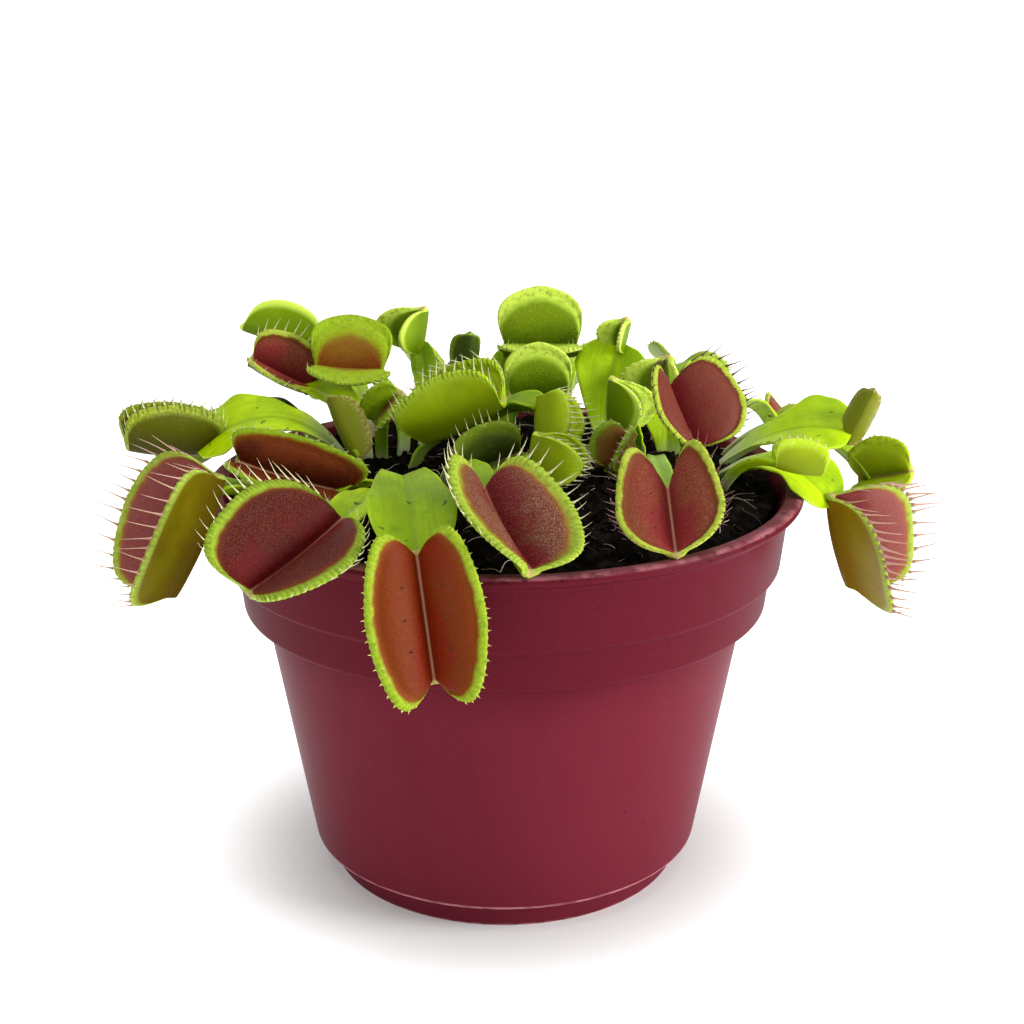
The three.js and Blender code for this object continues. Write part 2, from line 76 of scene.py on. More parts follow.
# Leaf stalks with their wings
ROOT_DEPTH = 6.0
BLADE_EDGE = 0.7
BLADE_RIB = 1.7
STALK_WIDTH = 2.6
WIDEST_AT = 0.78
STALK_REACH = 1.8
BLADE_WAVE = 0.028
WIDE_BLADE = 5

# Traps
LOBE_THICKNESS = 0.8
MIDRIB_THICKNESS = 1.7
MIDRIB_ARCH = 20.0
PILLOW = 0.085
LOBE_ROUNDNESS = 0.75
FULL_WIDTH = (0.5, 4.0)
RIM_ANGLES = (45, 90, 135)
ARC_STEPS = 20
END_TOOTH = 0.55
SHORTEST_TOOTH = 0.14
NEAR_TOOTH_FOOT = 0.36
FAR_TOOTH_FOOT = 0.28
TRIGGER_HAIR = 1.3
TRIGGER_PLACES = (0.36, 0.5, 0.64)

# Studio: the sensor's width in millimetres, and where the lamps look, in metres
SENSOR_WIDTH = 36.0
LAMP_TARGET = (0, 0, 0.06)


def linear(code: str) -> tuple[float, float, float, float]:
    """Turns a colour as it looks into linear light.

    Args:
        code: The colour as six hexadecimal digits after a hash sign.

    Returns:
        Red, green, blue and a full alpha.
    """
    parts = (int(code[place:place + 2], 16) / 255 for place in (1, 3, 5))
    red, green, blue = (p / 12.92 if p < 0.04045 else ((p + 0.055) / 1.055) ** 2.4 for p in parts)
    return red, green, blue, 1.0


def unit(rows: np.ndarray) -> np.ndarray:
    """Scales each vector of an array to a length of one."""
    return rows / np.maximum(np.linalg.norm(rows, axis=-1, keepdims=True), 1e-9)


def dot(a: np.ndarray, b: np.ndarray) -> np.ndarray:
    """Multiplies vectors of two arrays pair by pair, and keeps the last axis."""
    return (a * b).sum(-1, keepdims=True)


def mix(low: float | np.ndarray, high: float | np.ndarray, share: float | np.ndarray) -> np.ndarray:
    """Goes from low to high as share goes from 0 to 1."""
    return low + (high - low) * share


def ease(value: np.ndarray, low: float, high: float) -> np.ndarray:
    """Rises smoothly from 0 at low to 1 at high."""
    share = np.clip((value - low) / (high - low), 0, 1)
    return share * share * (3 - 2 * share)


def bell(value: np.ndarray, centre: float, width: float) -> np.ndarray:
    """Gives a soft hump of height 1 at centre."""
    return np.exp(-(((value - centre) / width) ** 2))


def soil_height(x: np.ndarray, y: np.ndarray) -> np.ndarray:
    """Gives the height of the peat.

    Args:
        x: Places across the pot.
        y: Places from its front to its back.

    Returns:
        The height at each place.
    """
    share = np.minimum(1, np.hypot(x, y) / LIP_INNER_RADIUS)
    lumps = (np.sin(0.23 * x + 1.3) * np.cos(0.19 * y - 0.7) + np.sin(0.41 * x - 0.33 * y + 2.1)) / 2
    return SOIL_EDGE + SOIL_MOUND * (1 - share * share) + SOIL_ROUGHNESS * lumps


class Bench:
    """Adds nodes to one node tree and wires them up."""

    def __init__(self, tree: bpy.types.NodeTree) -> None:
        """Takes the tree that the nodes go into."""
        self.tree = tree

    def node(self, kind: str, inputs: dict | None = None, **settings: object) -> bpy.types.Node:
        """Adds a node.

        Args:
            kind: Blender's name for the node type.
            inputs: Sockets by name or number, each with a value or the socket that feeds it.
            **settings: The node's own settings.

        Returns:
            The new node.
        """
        node = self.tree.nodes.new(kind)
        for name, value in settings.items():
            setattr(node, name, value)
        for key, value in (inputs or {}).items():
            if isinstance(value, Socket):
                self.tree.links.new(value, node.inputs[key])
            else:
                node.inputs[key].default_value = value
        return node

    def math(self, operation: str, a: Socket | float, b: Socket | float = 0.0) -> Socket:
        """Works one sum on one or two numbers."""
        return self.node("ShaderNodeMath", {0: a, 1: b}, operation=operation).outputs[0]

    def plus(self, a: Socket | float, b: Socket | float) -> Socket:
        """Adds two numbers."""
        return self.math("ADD", a, b)

    def times(self, a: Socket | float, b: Socket | float) -> Socket:
        """Multiplies two numbers."""
        return self.math("MULTIPLY", a, b)

    def vector(self, x: Socket | float, y: Socket | float, z: Socket | float) -> Socket:
        """Joins three numbers into a vector."""
        return self.node("ShaderNodeCombineXYZ", {0: x, 1: y, 2: z}).outputs[0]

    def split(self, vector: Socket) -> tuple[Socket, Socket, Socket]:
        """Takes a vector apart into its three numbers."""
        return tuple(self.node("ShaderNodeSeparateXYZ", {0: vector}).outputs)

    def step(self, value: Socket, low: float, high: float, start: float = 0.0, end: float = 1.0) -> Socket:
        """Goes smoothly from start to end as value goes from low to high."""
        inputs = {0: value, 1: low, 2: high, 3: start, 4: end}
        return self.node("ShaderNodeMapRange", inputs, interpolation_type="SMOOTHSTEP").outputs[0]

    def between(self, value: Socket, *limits: float) -> Socket:
        """Gives 1 inside four rising limits and 0 outside them, eased at both ends."""
        return self.times(self.step(value, *limits[:2]), self.step(value, *limits[2:], 1, 0))

    def blend(self, share: Socket | float, a: Socket | str, b: Socket | str) -> Socket:
        """Mixes two colours, the first where share is 0 and the second where it is 1."""
        a, b = (linear(c) if isinstance(c, str) else c for c in (a, b))
        return self.node("ShaderNodeMix", {0: share, 6: a, 7: b}, data_type="RGBA").outputs[2]

    def noise(self, vector: Socket, scale: float, detail: float = 3.0) -> Socket:
        """Adds soft noise at so many lumps a metre."""
        inputs = {"Vector": vector, "Scale": scale, "Detail": detail}
        return self.node("ShaderNodeTexNoise", inputs).outputs[0]

    def patches(self, vector: Socket, scale: float, low: float, high: float, start: float = 0.0,
                end: float = 1.0, detail: float = 3.0) -> Socket:
        """Adds patches, from start to end as soft noise goes from low to high.

        Args:
            vector: Where on the piece.
            scale: How many lumps the noise has a metre.
            low: The noise under which all is start.
            high: The noise over which all is end.
            start: The result where the noise is low.
            end: The result where the noise is high.
            detail: How many finer layers the noise has.

        Returns:
            The patches' share.
        """
        return self.step(self.noise(vector, scale, detail), low, high, start, end)

    def cells(self, vector: Socket, scale: float) -> Socket:
        """Adds small cells, 0 in the middle of each, at so many a metre."""
        return self.node("ShaderNodeTexVoronoi", {"Vector": vector, "Scale": scale}).outputs[0]

    def place(self) -> Socket:
        """Gives the place on the object, in metres."""
        return self.node("ShaderNodeTexCoord").outputs["Object"]

    def stretched(self, vector: Socket, by: Triple) -> Socket:
        """Scales a vector's three numbers separately."""
        return self.node("ShaderNodeVectorMath", {0: vector, 1: by}, operation="MULTIPLY").outputs[0]

    def noted(self, name: str) -> tuple[Socket, Socket, Socket]:
        """Reads a noted vector of the mesh and takes it apart."""
        node = self.node("ShaderNodeAttribute", attribute_name=name)
        return self.split(node.outputs["Vector"])

    def noted_number(self, name: str) -> Socket:
        """Reads a noted number of the mesh."""
        return self.node("ShaderNodeAttribute", attribute_name=name).outputs["Fac"]


class Paint:
    """A new material with its shader, and the colours laid over each other on it."""

    def __init__(self, name: str, **constants: float | tuple) -> None:
        """Makes the material.

        Args:
            name: The material's name.
            **constants: Values for the shader's own sockets, with _ for each space.
        """
        self.material = bpy.data.materials.new(name)
        self.material.use_nodes = True
        self.bench = Bench(self.material.node_tree)
        self.shader = self.material.node_tree.nodes["Principled BSDF"]
        self.colour: Socket | None = None
        for socket, value in constants.items():
            self.shader.inputs[socket.replace("_", " ")].default_value = value

    def ground(self, share: Socket, first: str, second: str) -> None:
        """Starts with two colours, the first where share is 0 and the second where it is 1."""
        self.colour = self.bench.blend(share, first, second)

    def coat(self, colour: Socket | str, share: Socket) -> None:
        """Lays a colour over what is there, fully where share is 1 and not at all where it is 0."""
        self.colour = self.bench.blend(share, self.colour, colour)

    def feed(self, socket: str, value: Socket) -> None:
        """Wires a result into the shader."""
        self.material.node_tree.links.new(value, self.shader.inputs[socket])

    def bump(self, height: Socket, depth: float) -> None:
        """Roughens the surface by so many millimetres."""
        inputs = {"Height": height, "Distance": depth * MM}
        self.feed("Normal", self.bench.node("ShaderNodeBump", inputs).outputs[0])

    def done(self, rough: Socket | None = None) -> bpy.types.Material:
        """Wires the colours and the roughness in.

        Args:
            rough: The roughness, where it isn't the same all over.

        Returns:
            The material.
        """
        self.feed("Base Color", self.colour)
        if rough is not None:
            self.feed("Roughness", rough)
        return self.material


@dataclass(frozen=True)
class TrapFinish:
    """Colours of one kind of trap: its inner faces, its margin and its outside."""

    name: str
    heart: str
    glow: str
    fringe: str
    band: str
    back: str
    belly: str
    band_width: float = 1.6
    soft: float = 0.35
    granules: float = 0.3
    # Pale gland granules on the inner face: partly the glands' own colour, partly a painted sheen.
    glands_and_sheen: str = "#96604e"
    # Painted shade in the grooves between the margin's beads and in the holes between interlocked teeth.
    groove_shade: str = "#64840c"
    mottle: str = "#6c8812"
    speck: str = "#d0d888"
    rib_line: str = "#bc9070"
    bead: str = "#cce070"
    bloom: str = "#b8cc50"

    @cache
    def face(self) -> bpy.types.Material:
        """Mixes the inner face: a glandular pad inside a lime margin, with a pale midrib, pale gland granules
        that are partly a painted sheen, and painted shade in the grooves between the margin's beads.

        Returns:
            The material.
        """
        paint = Paint(f"{self.name}_face", Subsurface_Weight=0.1, Subsurface_Radius=(1.0, 0.4, 0.2),
                      Subsurface_Scale=0.001, Specular_IOR_Level=0.1)
        bench, place = paint.bench, paint.bench.place()
        rib, edge, _ = bench.noted("spot")
        grain, glands = bench.noise(place, 2300), bench.cells(place, 3500)
        outward = bench.plus(rib, bench.patches(place, 150, 0.3, 0.7, -2.5, 2.5))
        ragged = bench.plus(edge, bench.patches(place, 480, 0.3, 0.7, -0.16, 0.16, 4))
        paint.ground(bench.step(outward, 1.0, 7.5), self.heart, self.glow)
        paint.coat(self.fringe, bench.step(grain, 0.5, 0.72, 0, 0.3))
        # Pale gland granules, partly the glands' own colour and partly a painted sheen, stronger away from
        # the midrib.
        gland_and_sheen_dots = bench.step(glands, 0.06, 0.55, self.granules, 0)
        paint.coat(self.glands_and_sheen, bench.times(gland_and_sheen_dots, bench.step(outward, 2, 8, 0.3, 1)))
        width, soft = self.band_width, self.soft
        paint.coat(self.fringe, bench.step(ragged, width, width + 1.6, 1, 0))
        # Painted shade in the grooves between the margin's beads.
        groove = bench.noted_number("groove")
        band = bench.blend(bench.step(groove, 0.15, 0.9, 0, 0.7), self.band, self.groove_shade)
        band = bench.blend(bench.patches(place, 1000, 0.44, 0.7, 0, 0.6, 4), band, self.mottle)
        band = bench.blend(bench.patches(place, 1700, 0.58, 0.74, 0, 0.35), band, self.speck)
        paint.coat(band, bench.step(ragged, width - soft, width + soft, 1, 0))
        paint.coat(self.rib_line, bench.step(rib, 0.08, 0.5, 0.65, 0))
        paint.bump(bench.plus(bench.times(glands, -0.9), grain), 0.07)
        return paint.done(bench.step(grain, 0.3, 0.7, 0.38, 0.55))

    @cache
    def outside(self) -> bpy.types.Material:
        """Mixes the outside: waxy, darker over the midrib and paler at the margin, with painted shade in the
        grooves between the margin's beads.

        Returns:
            The material.
        """
        paint = Paint(f"{self.name}_outside", Subsurface_Weight=0.22, Subsurface_Radius=(0.6, 1.0, 0.15),
                      Subsurface_Scale=0.0018, Specular_IOR_Level=0.13)
        bench, place = paint.bench, paint.bench.place()
        rib, edge, turn = bench.noted("spot")
        veins = bench.noise(bench.vector(bench.times(turn, 26), bench.times(rib, 0.16), 0), 1)
        speckle = bench.noise(place, 1900)
        paint.ground(bench.step(rib, 0.5, 9.0), self.belly, self.back)
        paint.coat(self.belly, bench.patches(place, 130, 0.42, 0.7, 0, 0.5))
        paint.coat(self.belly, bench.step(veins, 0.52, 0.7, 0, 0.14))
        margin = bench.blend(bench.step(speckle, 0.46, 0.62, 0, 0.35), self.band, self.bead)
        # Painted shade in the grooves between the margin's beads.
        groove = bench.noted_number("groove")
        margin = bench.blend(bench.step(groove, 0.15, 0.9, 0, 0.85), margin, self.groove_shade)
        paint.coat(margin, bench.step(edge, 0.3, 1.8, 1, 0))
        paint.coat(self.bloom, bench.step(speckle, 0.6, 0.76, 0, 0.12))
        paint.bump(bench.plus(bench.times(veins, 0.7), bench.times(speckle, 0.4)), 0.07)
        return paint.done(bench.step(speckle, 0.3, 0.7, 0.38, 0.52))


@dataclass(frozen=True)
class BladeFinish:
    """Colours of one kind of leaf blade: its wings, its midline and its foot in the peat."""

    name: str
    wing: str
    shade: str
    foot: str = "#a9b489"
    blush: str = "#9a6a50"
    speck: str = "#bcd82c"
    midline: str = "#6c8c14"
    rim: str = "#c0dc30"
    blemish: str = "#34380e"

    @cache
    def mixed(self) -> bpy.types.Material:
        """Mixes the blade, with lengthwise veins and a pale foot.

        Returns:
            The material.
        """
        paint = Paint(f"{self.name}_blade", Subsurface_Weight=0.25, Subsurface_Radius=(0.6, 1.0, 0.15),
                      Subsurface_Scale=0.002, Specular_IOR_Level=0.13)
        bench, place = paint.bench, paint.bench.place()
        aside, along, across = bench.noted("spot")
        veins = bench.noise(bench.vector(bench.times(across, 1.7), bench.times(along, 3.0), 0), 1, 4)
        broad, fine = bench.noise(place, 95), bench.noise(place, 1500)
        paint.ground(bench.step(broad, 0.38, 0.7, 0, 0.75), self.wing, self.shade)
        paint.coat(self.shade, bench.step(veins, 0.48, 0.7, 0, 0.45))
        paint.coat(self.shade, bench.patches(place, 330, 0.5, 0.68, 0, 0.4))
        paint.coat(self.speck, bench.step(fine, 0.55, 0.72, 0, 0.25))
        paint.coat(self.midline, bench.step(bench.math("ABSOLUTE", across), 0.15, 0.8, 0.4, 0))
        paint.coat(self.rim, bench.step(bench.math("ABSOLUTE", aside), 0.92, 1.0, 0, 0.5))
        low = bench.plus(along, bench.step(broad, 0.3, 0.7, -0.06, 0.06))
        paint.coat(self.foot, bench.step(low, 0.16, 0.5, 1, 0))
        paint.coat(self.blush, bench.step(low, 0.05, 0.24, 1, 0))
        paint.coat(self.blemish, bench.patches(place, 420, 0.7, 0.74, 0, 0.8, 2))
        paint.bump(bench.plus(veins, bench.times(fine, 0.35)), 0.13)
        return paint.done(bench.step(fine, 0.3, 0.7, 0.36, 0.55))


@dataclass(frozen=True)
class SpikeFinish:
    """Colours of the teeth on a margin, or of the hairs on a face."""

    name: str
    foot: str
    point: str

    @cache
    def mixed(self) -> bpy.types.Material:
        """Mixes the spike from its foot to its point.

        Returns:
            The material.
        """
        paint = Paint(f"{self.name}_spikes", Roughness=0.42, Subsurface_Weight=0.3,
                      Subsurface_Radius=(1.0, 0.9, 0.6), Subsurface_Scale=0.0006)
        bench = paint.bench
        height = bench.plus(bench.noted_number("tip"), bench.times(bench.noted_number("tone"), 0.12))
        paint.ground(bench.step(height, 0.08, 0.5), self.foot, self.point)
        return paint.done()


@dataclass(frozen=True)
class PotFinish:
    """Satin burgundy plastic, darker round its collar as painted shade, scuffed pale at its edges, with a
    painted highlight on its lip and a little dirt and peat on it.
    """

    body: str = "#661e2c"
    # Darker plastic: the flow marks' own tone, and painted shade over the collar.
    deep: str = "#591623"
    # Pale plastic for scuffs, and for the painted highlight on the lip.
    scuff_and_highlight: str = "#b8787e"
    dirt: str = "#22100e"

    def mixed(self) -> bpy.types.Material:
        """Mixes the plastic.

        Returns:
            The material.
        """
        paint = Paint("pot_plastic", Specular_IOR_Level=0.025)
        bench, place = paint.bench, paint.bench.place()
        height = bench.split(place)[2]
        broad, grain = bench.noise(place, 16), bench.noise(place, 2600, 2)
        flow = bench.noise(bench.stretched(place, (190, 190, 9)), 1)
        low = bench.plus(height, bench.step(broad, 0.3, 0.7, -0.002, 0.002))
        # Painted shade: the plastic is darker over the collar, from about 46 to 60 mm up, than on the body
        # below.
        paint.ground(bench.step(low, 0.046, 0.06), self.body, self.deep)
        paint.coat(self.deep, bench.step(flow, 0.45, 0.75, 0, 0.2))
        paint.coat(self.scuff_and_highlight, bench.step(grain, 0.64, 0.8, 0, 0.12))
        paint.coat(self.dirt, bench.step(bench.cells(place, 150), 0.035, 0.07, 0.4, 0))
        # Scuffs, and a painted highlight on the lip.
        paint.coat(self.scuff_and_highlight, self.wear_and_highlight(bench, place))
        rough = bench.patches(bench.stretched(place, (420, 420, 1200)), 1, 0.56, 0.68, 0, 0.6, 4)
        paint.coat(self.dirt, bench.times(bench.step(height, 0.0785, 0.0815), rough))
        paint.bump(bench.plus(bench.times(grain, 0.3), bench.times(flow, 0.9)), 0.03)
        return paint.done(bench.step(broad, 0.3, 0.7, 0.34, 0.46))

    def wear_and_highlight(self, bench: Bench, place: Socket) -> Socket:
        """Tells where the plastic is paler: scuffed under the foot and round its shoulder, and on the lip a
        painted highlight along its outer corner and over its top face, broken up by worn patches.

        Args:
            bench: The material's bench.
            place: The place on the pot, in metres.

        Returns:
            How strongly it is scuffed or lit by the painted highlight.
        """
        x, y, height = bench.split(place)
        radius = bench.math("SQRT", bench.plus(bench.times(x, x), bench.times(y, y)))
        scratch = bench.noise(bench.stretched(place, (380, 380, 2600)), 1)
        foot = bench.times(bench.step(height, 0.0, 0.0009, 1, 0), bench.step(scratch, 0.38, 0.6))
        line = bench.between(height, 0.0055, 0.0058, 0.0064, 0.0067)
        shoulder = bench.times(line, bench.step(scratch, 0.3, 0.6, 0.2, 1.0))
        # On the lip, a painted highlight: a pale line along the outer corner and a lighter top face, broken
        # up by worn patches.
        worn = bench.patches(place, 240, 0.36, 0.68, 0.12, 0.55)
        corner = bench.times(bench.step(radius, 0.0588, 0.0592), worn)
        flat = bench.step(radius, 0.0588, 0.0594, 0.26, 0)
        face = bench.times(flat, bench.step(worn, 0.1, 0.7, 0.6, 1.3))
        lip = bench.times(bench.step(height, 0.0812, 0.0816), bench.math("MAXIMUM", corner, face))
        return bench.math("MAXIMUM", bench.math("MAXIMUM", foot, shoulder), lip)


@dataclass(frozen=True)
class PeatFinish:
    """Damp peat, its crumbs and the fibres in it."""

    dark: str = "#060504"
    brown: str = "#1d1610"
    grain: str = "#3c2e22"
    crumb_grain: str = "#54412e"
    old_root: str = "#4a3524"
    young_root: str = "#cbbda4"

    def ground(self) -> bpy.types.Material:
        """Mixes the peat itself.

        Returns:
            The material.
        """
        paint = Paint("peat", Roughness=0.95, Specular_IOR_Level=0.03)
        bench, place = paint.bench, paint.bench.place()
        lumps, fine = bench.noise(place, 420, 4), bench.noise(place, 2600, 4)
        paint.ground(bench.step(lumps, 0.42, 0.7), self.dark, self.brown)
        paint.coat(self.grain, bench.step(fine, 0.62, 0.78, 0, 0.4))
        paint.bump(bench.plus(lumps, bench.times(fine, 0.7)), 0.7)
        return paint.done()

    def crumbs(self) -> bpy.types.Material:
        """Mixes the crumbs, each with a tone of its own.

        Returns:
            The material.
        """
        paint = Paint("peat_crumbs", Roughness=0.95, Specular_IOR_Level=0.04)
        bench, place = paint.bench, paint.bench.place()
        paint.ground(bench.step(bench.noted_number("tone"), 0.2, 1.0), self.dark, self.brown)
        paint.coat(self.crumb_grain, bench.patches(place, 1900, 0.55, 0.72, 0, 0.5))
        paint.bump(bench.noise(place, 2400, 4), 0.5)
        return paint.done()

    def fibres(self) -> bpy.types.Material:
        """Mixes the fibres and fine roots, from brown to nearly white.

        Returns:
            The material.
        """
        paint = Paint("peat_fibres", Roughness=0.7)
        tone = paint.bench.step(paint.bench.noted_number("tone"), 0.35, 0.95)
        paint.ground(tone, self.old_root, self.young_root)
        return paint.done()


class TrapLook(Enum):
    """The kinds of trap on this plant."""

    COPPER = TrapFinish("copper", "#741c04", "#6e2a03", "#7c4006", "#94ac24", "#98b808", "#7c9408",
                        0.9, 0.4, 0.1)
    MAROON = TrapFinish("maroon", "#640f14", "#4e160f", "#6e320e", "#90a82c", "#98b00c", "#7a8c08",
                        1.4, 0.5, 0.4)
    RUSSET = TrapFinish("russet", "#660c18", "#623220", "#7c4c18", "#98ac34", "#98b00c", "#7a8c08",
                        1.6, 0.8, 0.8, "#b08872")
    CRIMSON = TrapFinish("crimson", "#7c2226", "#74361e", "#6c3812", "#a8b63e", "#92a008", "#646004",
                        0.6, 0.3, 0.6, "#b07060")
    WINE = TrapFinish("wine", "#6a141a", "#662c20", "#642c12", "#9cae30", "#92a80c", "#687408",
                        0.8, 0.25, 0.22)
    PINK = TrapFinish("pink", "#6c2024", "#7a3836", "#8c502c", "#9cac3c", "#7a7004", "#5e4c02",
                        1.1, 0.5, 0.55)
    AMBER = TrapFinish("amber", "#6c2024", "#7a3836", "#8c502c", "#9cac3c", "#948404", "#7c5e04",
                        1.1, 0.5, 0.55)
    RUST = TrapFinish("rust", "#4c1806", "#642808", "#7c420c", "#809c14", "#7c900c", "#545a08",
                        0.4, 0.4, 0.1)
    LIME = TrapFinish("lime", "#8ca008", "#9cb412", "#a4bc18", "#b0cc20", "#b4cc10", "#86980a",
                        1.2, 0.6, 0.1, groove_shade="#4c5e06")
    FRESH = TrapFinish("fresh", "#5c7404", "#748c0a", "#a0c034", "#cae252", "#8aaa04", "#6c8802",
                        2.2, 1.0, 0.05)
    BLUSH = TrapFinish("blush", "#78340a", "#7c5210", "#868a0c", "#8eaa10", "#84a00c", "#5c6c08",
                        4.2, 2.8, 0.1)
    # Dark green, darkened beyond the leaf's own tone as painted shade, for traps that sit in the shade of
    # other leaves.
    GROVE = TrapFinish("grove", "#303c06", "#3e4c0a", "#586c10", "#708618", "#50640c", "#3a4a08",
                        1.2, 0.8, 0.05)
    OLIVE = TrapFinish("olive", "#3c2a06", "#483608", "#565006", "#8c9c20", "#5c6006", "#424002",
                        0.9, 0.4, 0.05, groove_shade="#34160a")
    TAWNY = TrapFinish("tawny", "#663c14", "#745018", "#807024", "#809820", "#788014", "#6a5410",
                        0.8, 0.5, 0.05)
    BUDDING = TrapFinish("bud", "#663c14", "#745018", "#807024", "#7c6a28", "#7c961a", "#727812",
                        0.8, 0.5, 0.05, groove_shade="#6c5420")


class BladeLook(Enum):
    """The kinds of leaf blade on this plant."""

    BRIGHT = BladeFinish("bright", "#b4d402", "#88a806")
    DEEP = BladeFinish("deep", "#8eae08", "#6a8a08")
    WITHERED = BladeFinish("withered", "#3a3418", "#1e1a0e")
    PALE = BladeFinish("pale", "#94b04c", "#76963a", "#a4b088", "#a07c60")


class SpikeLook(Enum):
    """The kinds of tooth and hair on this plant."""

    CREAM = SpikeFinish("cream", "#9cba34", "#dcd6a8")
    LIME = SpikeFinish("lime", "#98b824", "#c0cc64")
    PURPLE = SpikeFinish("purple", "#98903c", "#643840")
    ROSE = SpikeFinish("rose", "#a4ac40", "#c49c88")
    TRIGGER = SpikeFinish("trigger", "#6a2e20", "#502018")


class Gape(Enum):
    """How steep the lobes stand at the midrib and at the margin, in degrees."""

    OPEN = (50.0, 15.0)
    AJAR = (60.0, 34.0)
    HALF = (60.0, 62.0)
    SHUT = (42.0, 116.0)
    BUD = (20.0, 80.0)


class Shell:
    """A closed skin that is still being made, in millimetres."""

    def __init__(self) -> None:
        """Starts with nothing."""
        self.points: list[np.ndarray] = []
        self.notes: dict[str, list[np.ndarray]] = {}
        self.faces: list[np.ndarray] = []
        self.slots: list[np.ndarray] = []
        self.count = 0

    def grid(self, points: np.ndarray, notes: dict[str, np.ndarray], slots: np.ndarray | int = 0,
             loop: bool = False, turned: bool = False) -> np.ndarray:
        """Adds a sheet of four-sided faces.

        Args:
            points: The sheet's points, as rows, columns and three numbers.
            notes: What is noted at each point, as rows, columns and the note's numbers.
            slots: The finish of each strip between two columns, or one for all.
            loop: Whether the last column joins the first.
            turned: Whether the faces look the other way.

        Returns:
            The number of each point, as rows and columns.
        """
        rows, columns = points.shape[:2]
        index = self.count + np.arange(rows * columns).reshape(rows, columns)
        self.count += rows * columns
        self.points.append(points.reshape(-1, 3))
        for name, values in notes.items():
            self.notes.setdefault(name, []).append(values.reshape(rows * columns, -1))
        here = index if loop else index[:, :-1]
        there = np.roll(index, -1, axis=1) if loop else index[:, 1:]
        quads = np.stack([here[:-1], there[:-1], there[1:], here[1:]], -1)
        self.slots.append(np.broadcast_to(slots, quads.shape[:2]).reshape(-1))
        quads = quads.reshape(-1, 4)
        self.faces.append(quads[:, ::-1] if turned else quads)
        return index

    def cap(self, ring: np.ndarray, turned: bool) -> None:
        """Closes the end of a tube with a fan.

        Args:
            ring: The numbers of the points round the end.
            turned: Whether the faces look the other way.
        """
        hub = np.full(len(ring) - 2, ring[0])
        corners = np.stack([ring[1:-1], ring[2:], hub, hub], -1)
        self.faces.append(corners[:, ::-1] if turned else corners)
        self.slots.append(np.full(len(corners), self.slots[-1][0]))

    def mesh(self, name: str, finishes: list[bpy.types.Material]) -> bpy.types.Mesh:
        """Joins touching points, turns the faces out and makes the mesh, in metres.

        Args:
            name: The mesh's name.
            finishes: The finishes that the strips' numbers stand for.

        Returns:
            The mesh.
        """
        points = np.concatenate(self.points)
        _, first, same = np.unique(np.round(points, 4), axis=0, return_index=True, return_inverse=True)
        same = same.reshape(-1)
        faces, slots = [], []
        for face, slot in zip(same[np.concatenate(self.faces)].tolist(), np.concatenate(self.slots).tolist()):
            corners = list(dict.fromkeys(face))
            if len(corners) > 2:
                faces.append(corners)
                slots.append(slot)
        kept = points[first]
        volume = sum(np.dot(kept[f[0]], np.cross(kept[f[i]], kept[f[i + 1]]))
                     for f in faces for i in range(1, len(f) - 1))
        if volume < 0:
            faces = [face[::-1] for face in faces]
        mesh = bpy.data.meshes.new(name)
        mesh.from_pydata(kept * MM, [], faces, shade_flat=False)
        mesh.polygons.foreach_set("material_index", slots)
        for note, values in self.notes.items():
            values = np.concatenate(values)[first].astype(np.float32)
            wide = values.shape[1] == 3
            attribute = mesh.attributes.new(note, "FLOAT_VECTOR" if wide else "FLOAT", "POINT")
            attribute.data.foreach_set("vector" if wide else "value", values.reshape(-1))
        for finish in finishes:
            mesh.materials.append(finish)
        mesh.validate()
        return mesh


def placed(name: str, mesh: bpy.types.Mesh) -> bpy.types.Object:
    """Puts a mesh into the scene as an object at the origin.

    Args:
        name: The object's name.
        mesh: The mesh.

    Returns:
        The object.
    """
    piece = bpy.data.objects.new(name, mesh)
    bpy.context.scene.collection.objects.link(piece)
    return piece


def joined(name: str, shells: list[bpy.types.Mesh]) -> bpy.types.Mesh:
    """Joins meshes with the same finishes into one.

    Args:
        name: What the pieces are called while they are joined.
        shells: The meshes.

    Returns:
        The joined mesh.
    """
    pieces = [placed(f"{name}_{number}", mesh) for number, mesh in enumerate(shells)]
    with bpy.context.temp_override(active_object=pieces[0], selected_editable_objects=pieces):
        bpy.ops.object.join()
    mesh = pieces[0].data
    bpy.data.objects.remove(pieces[0])
    return mesh


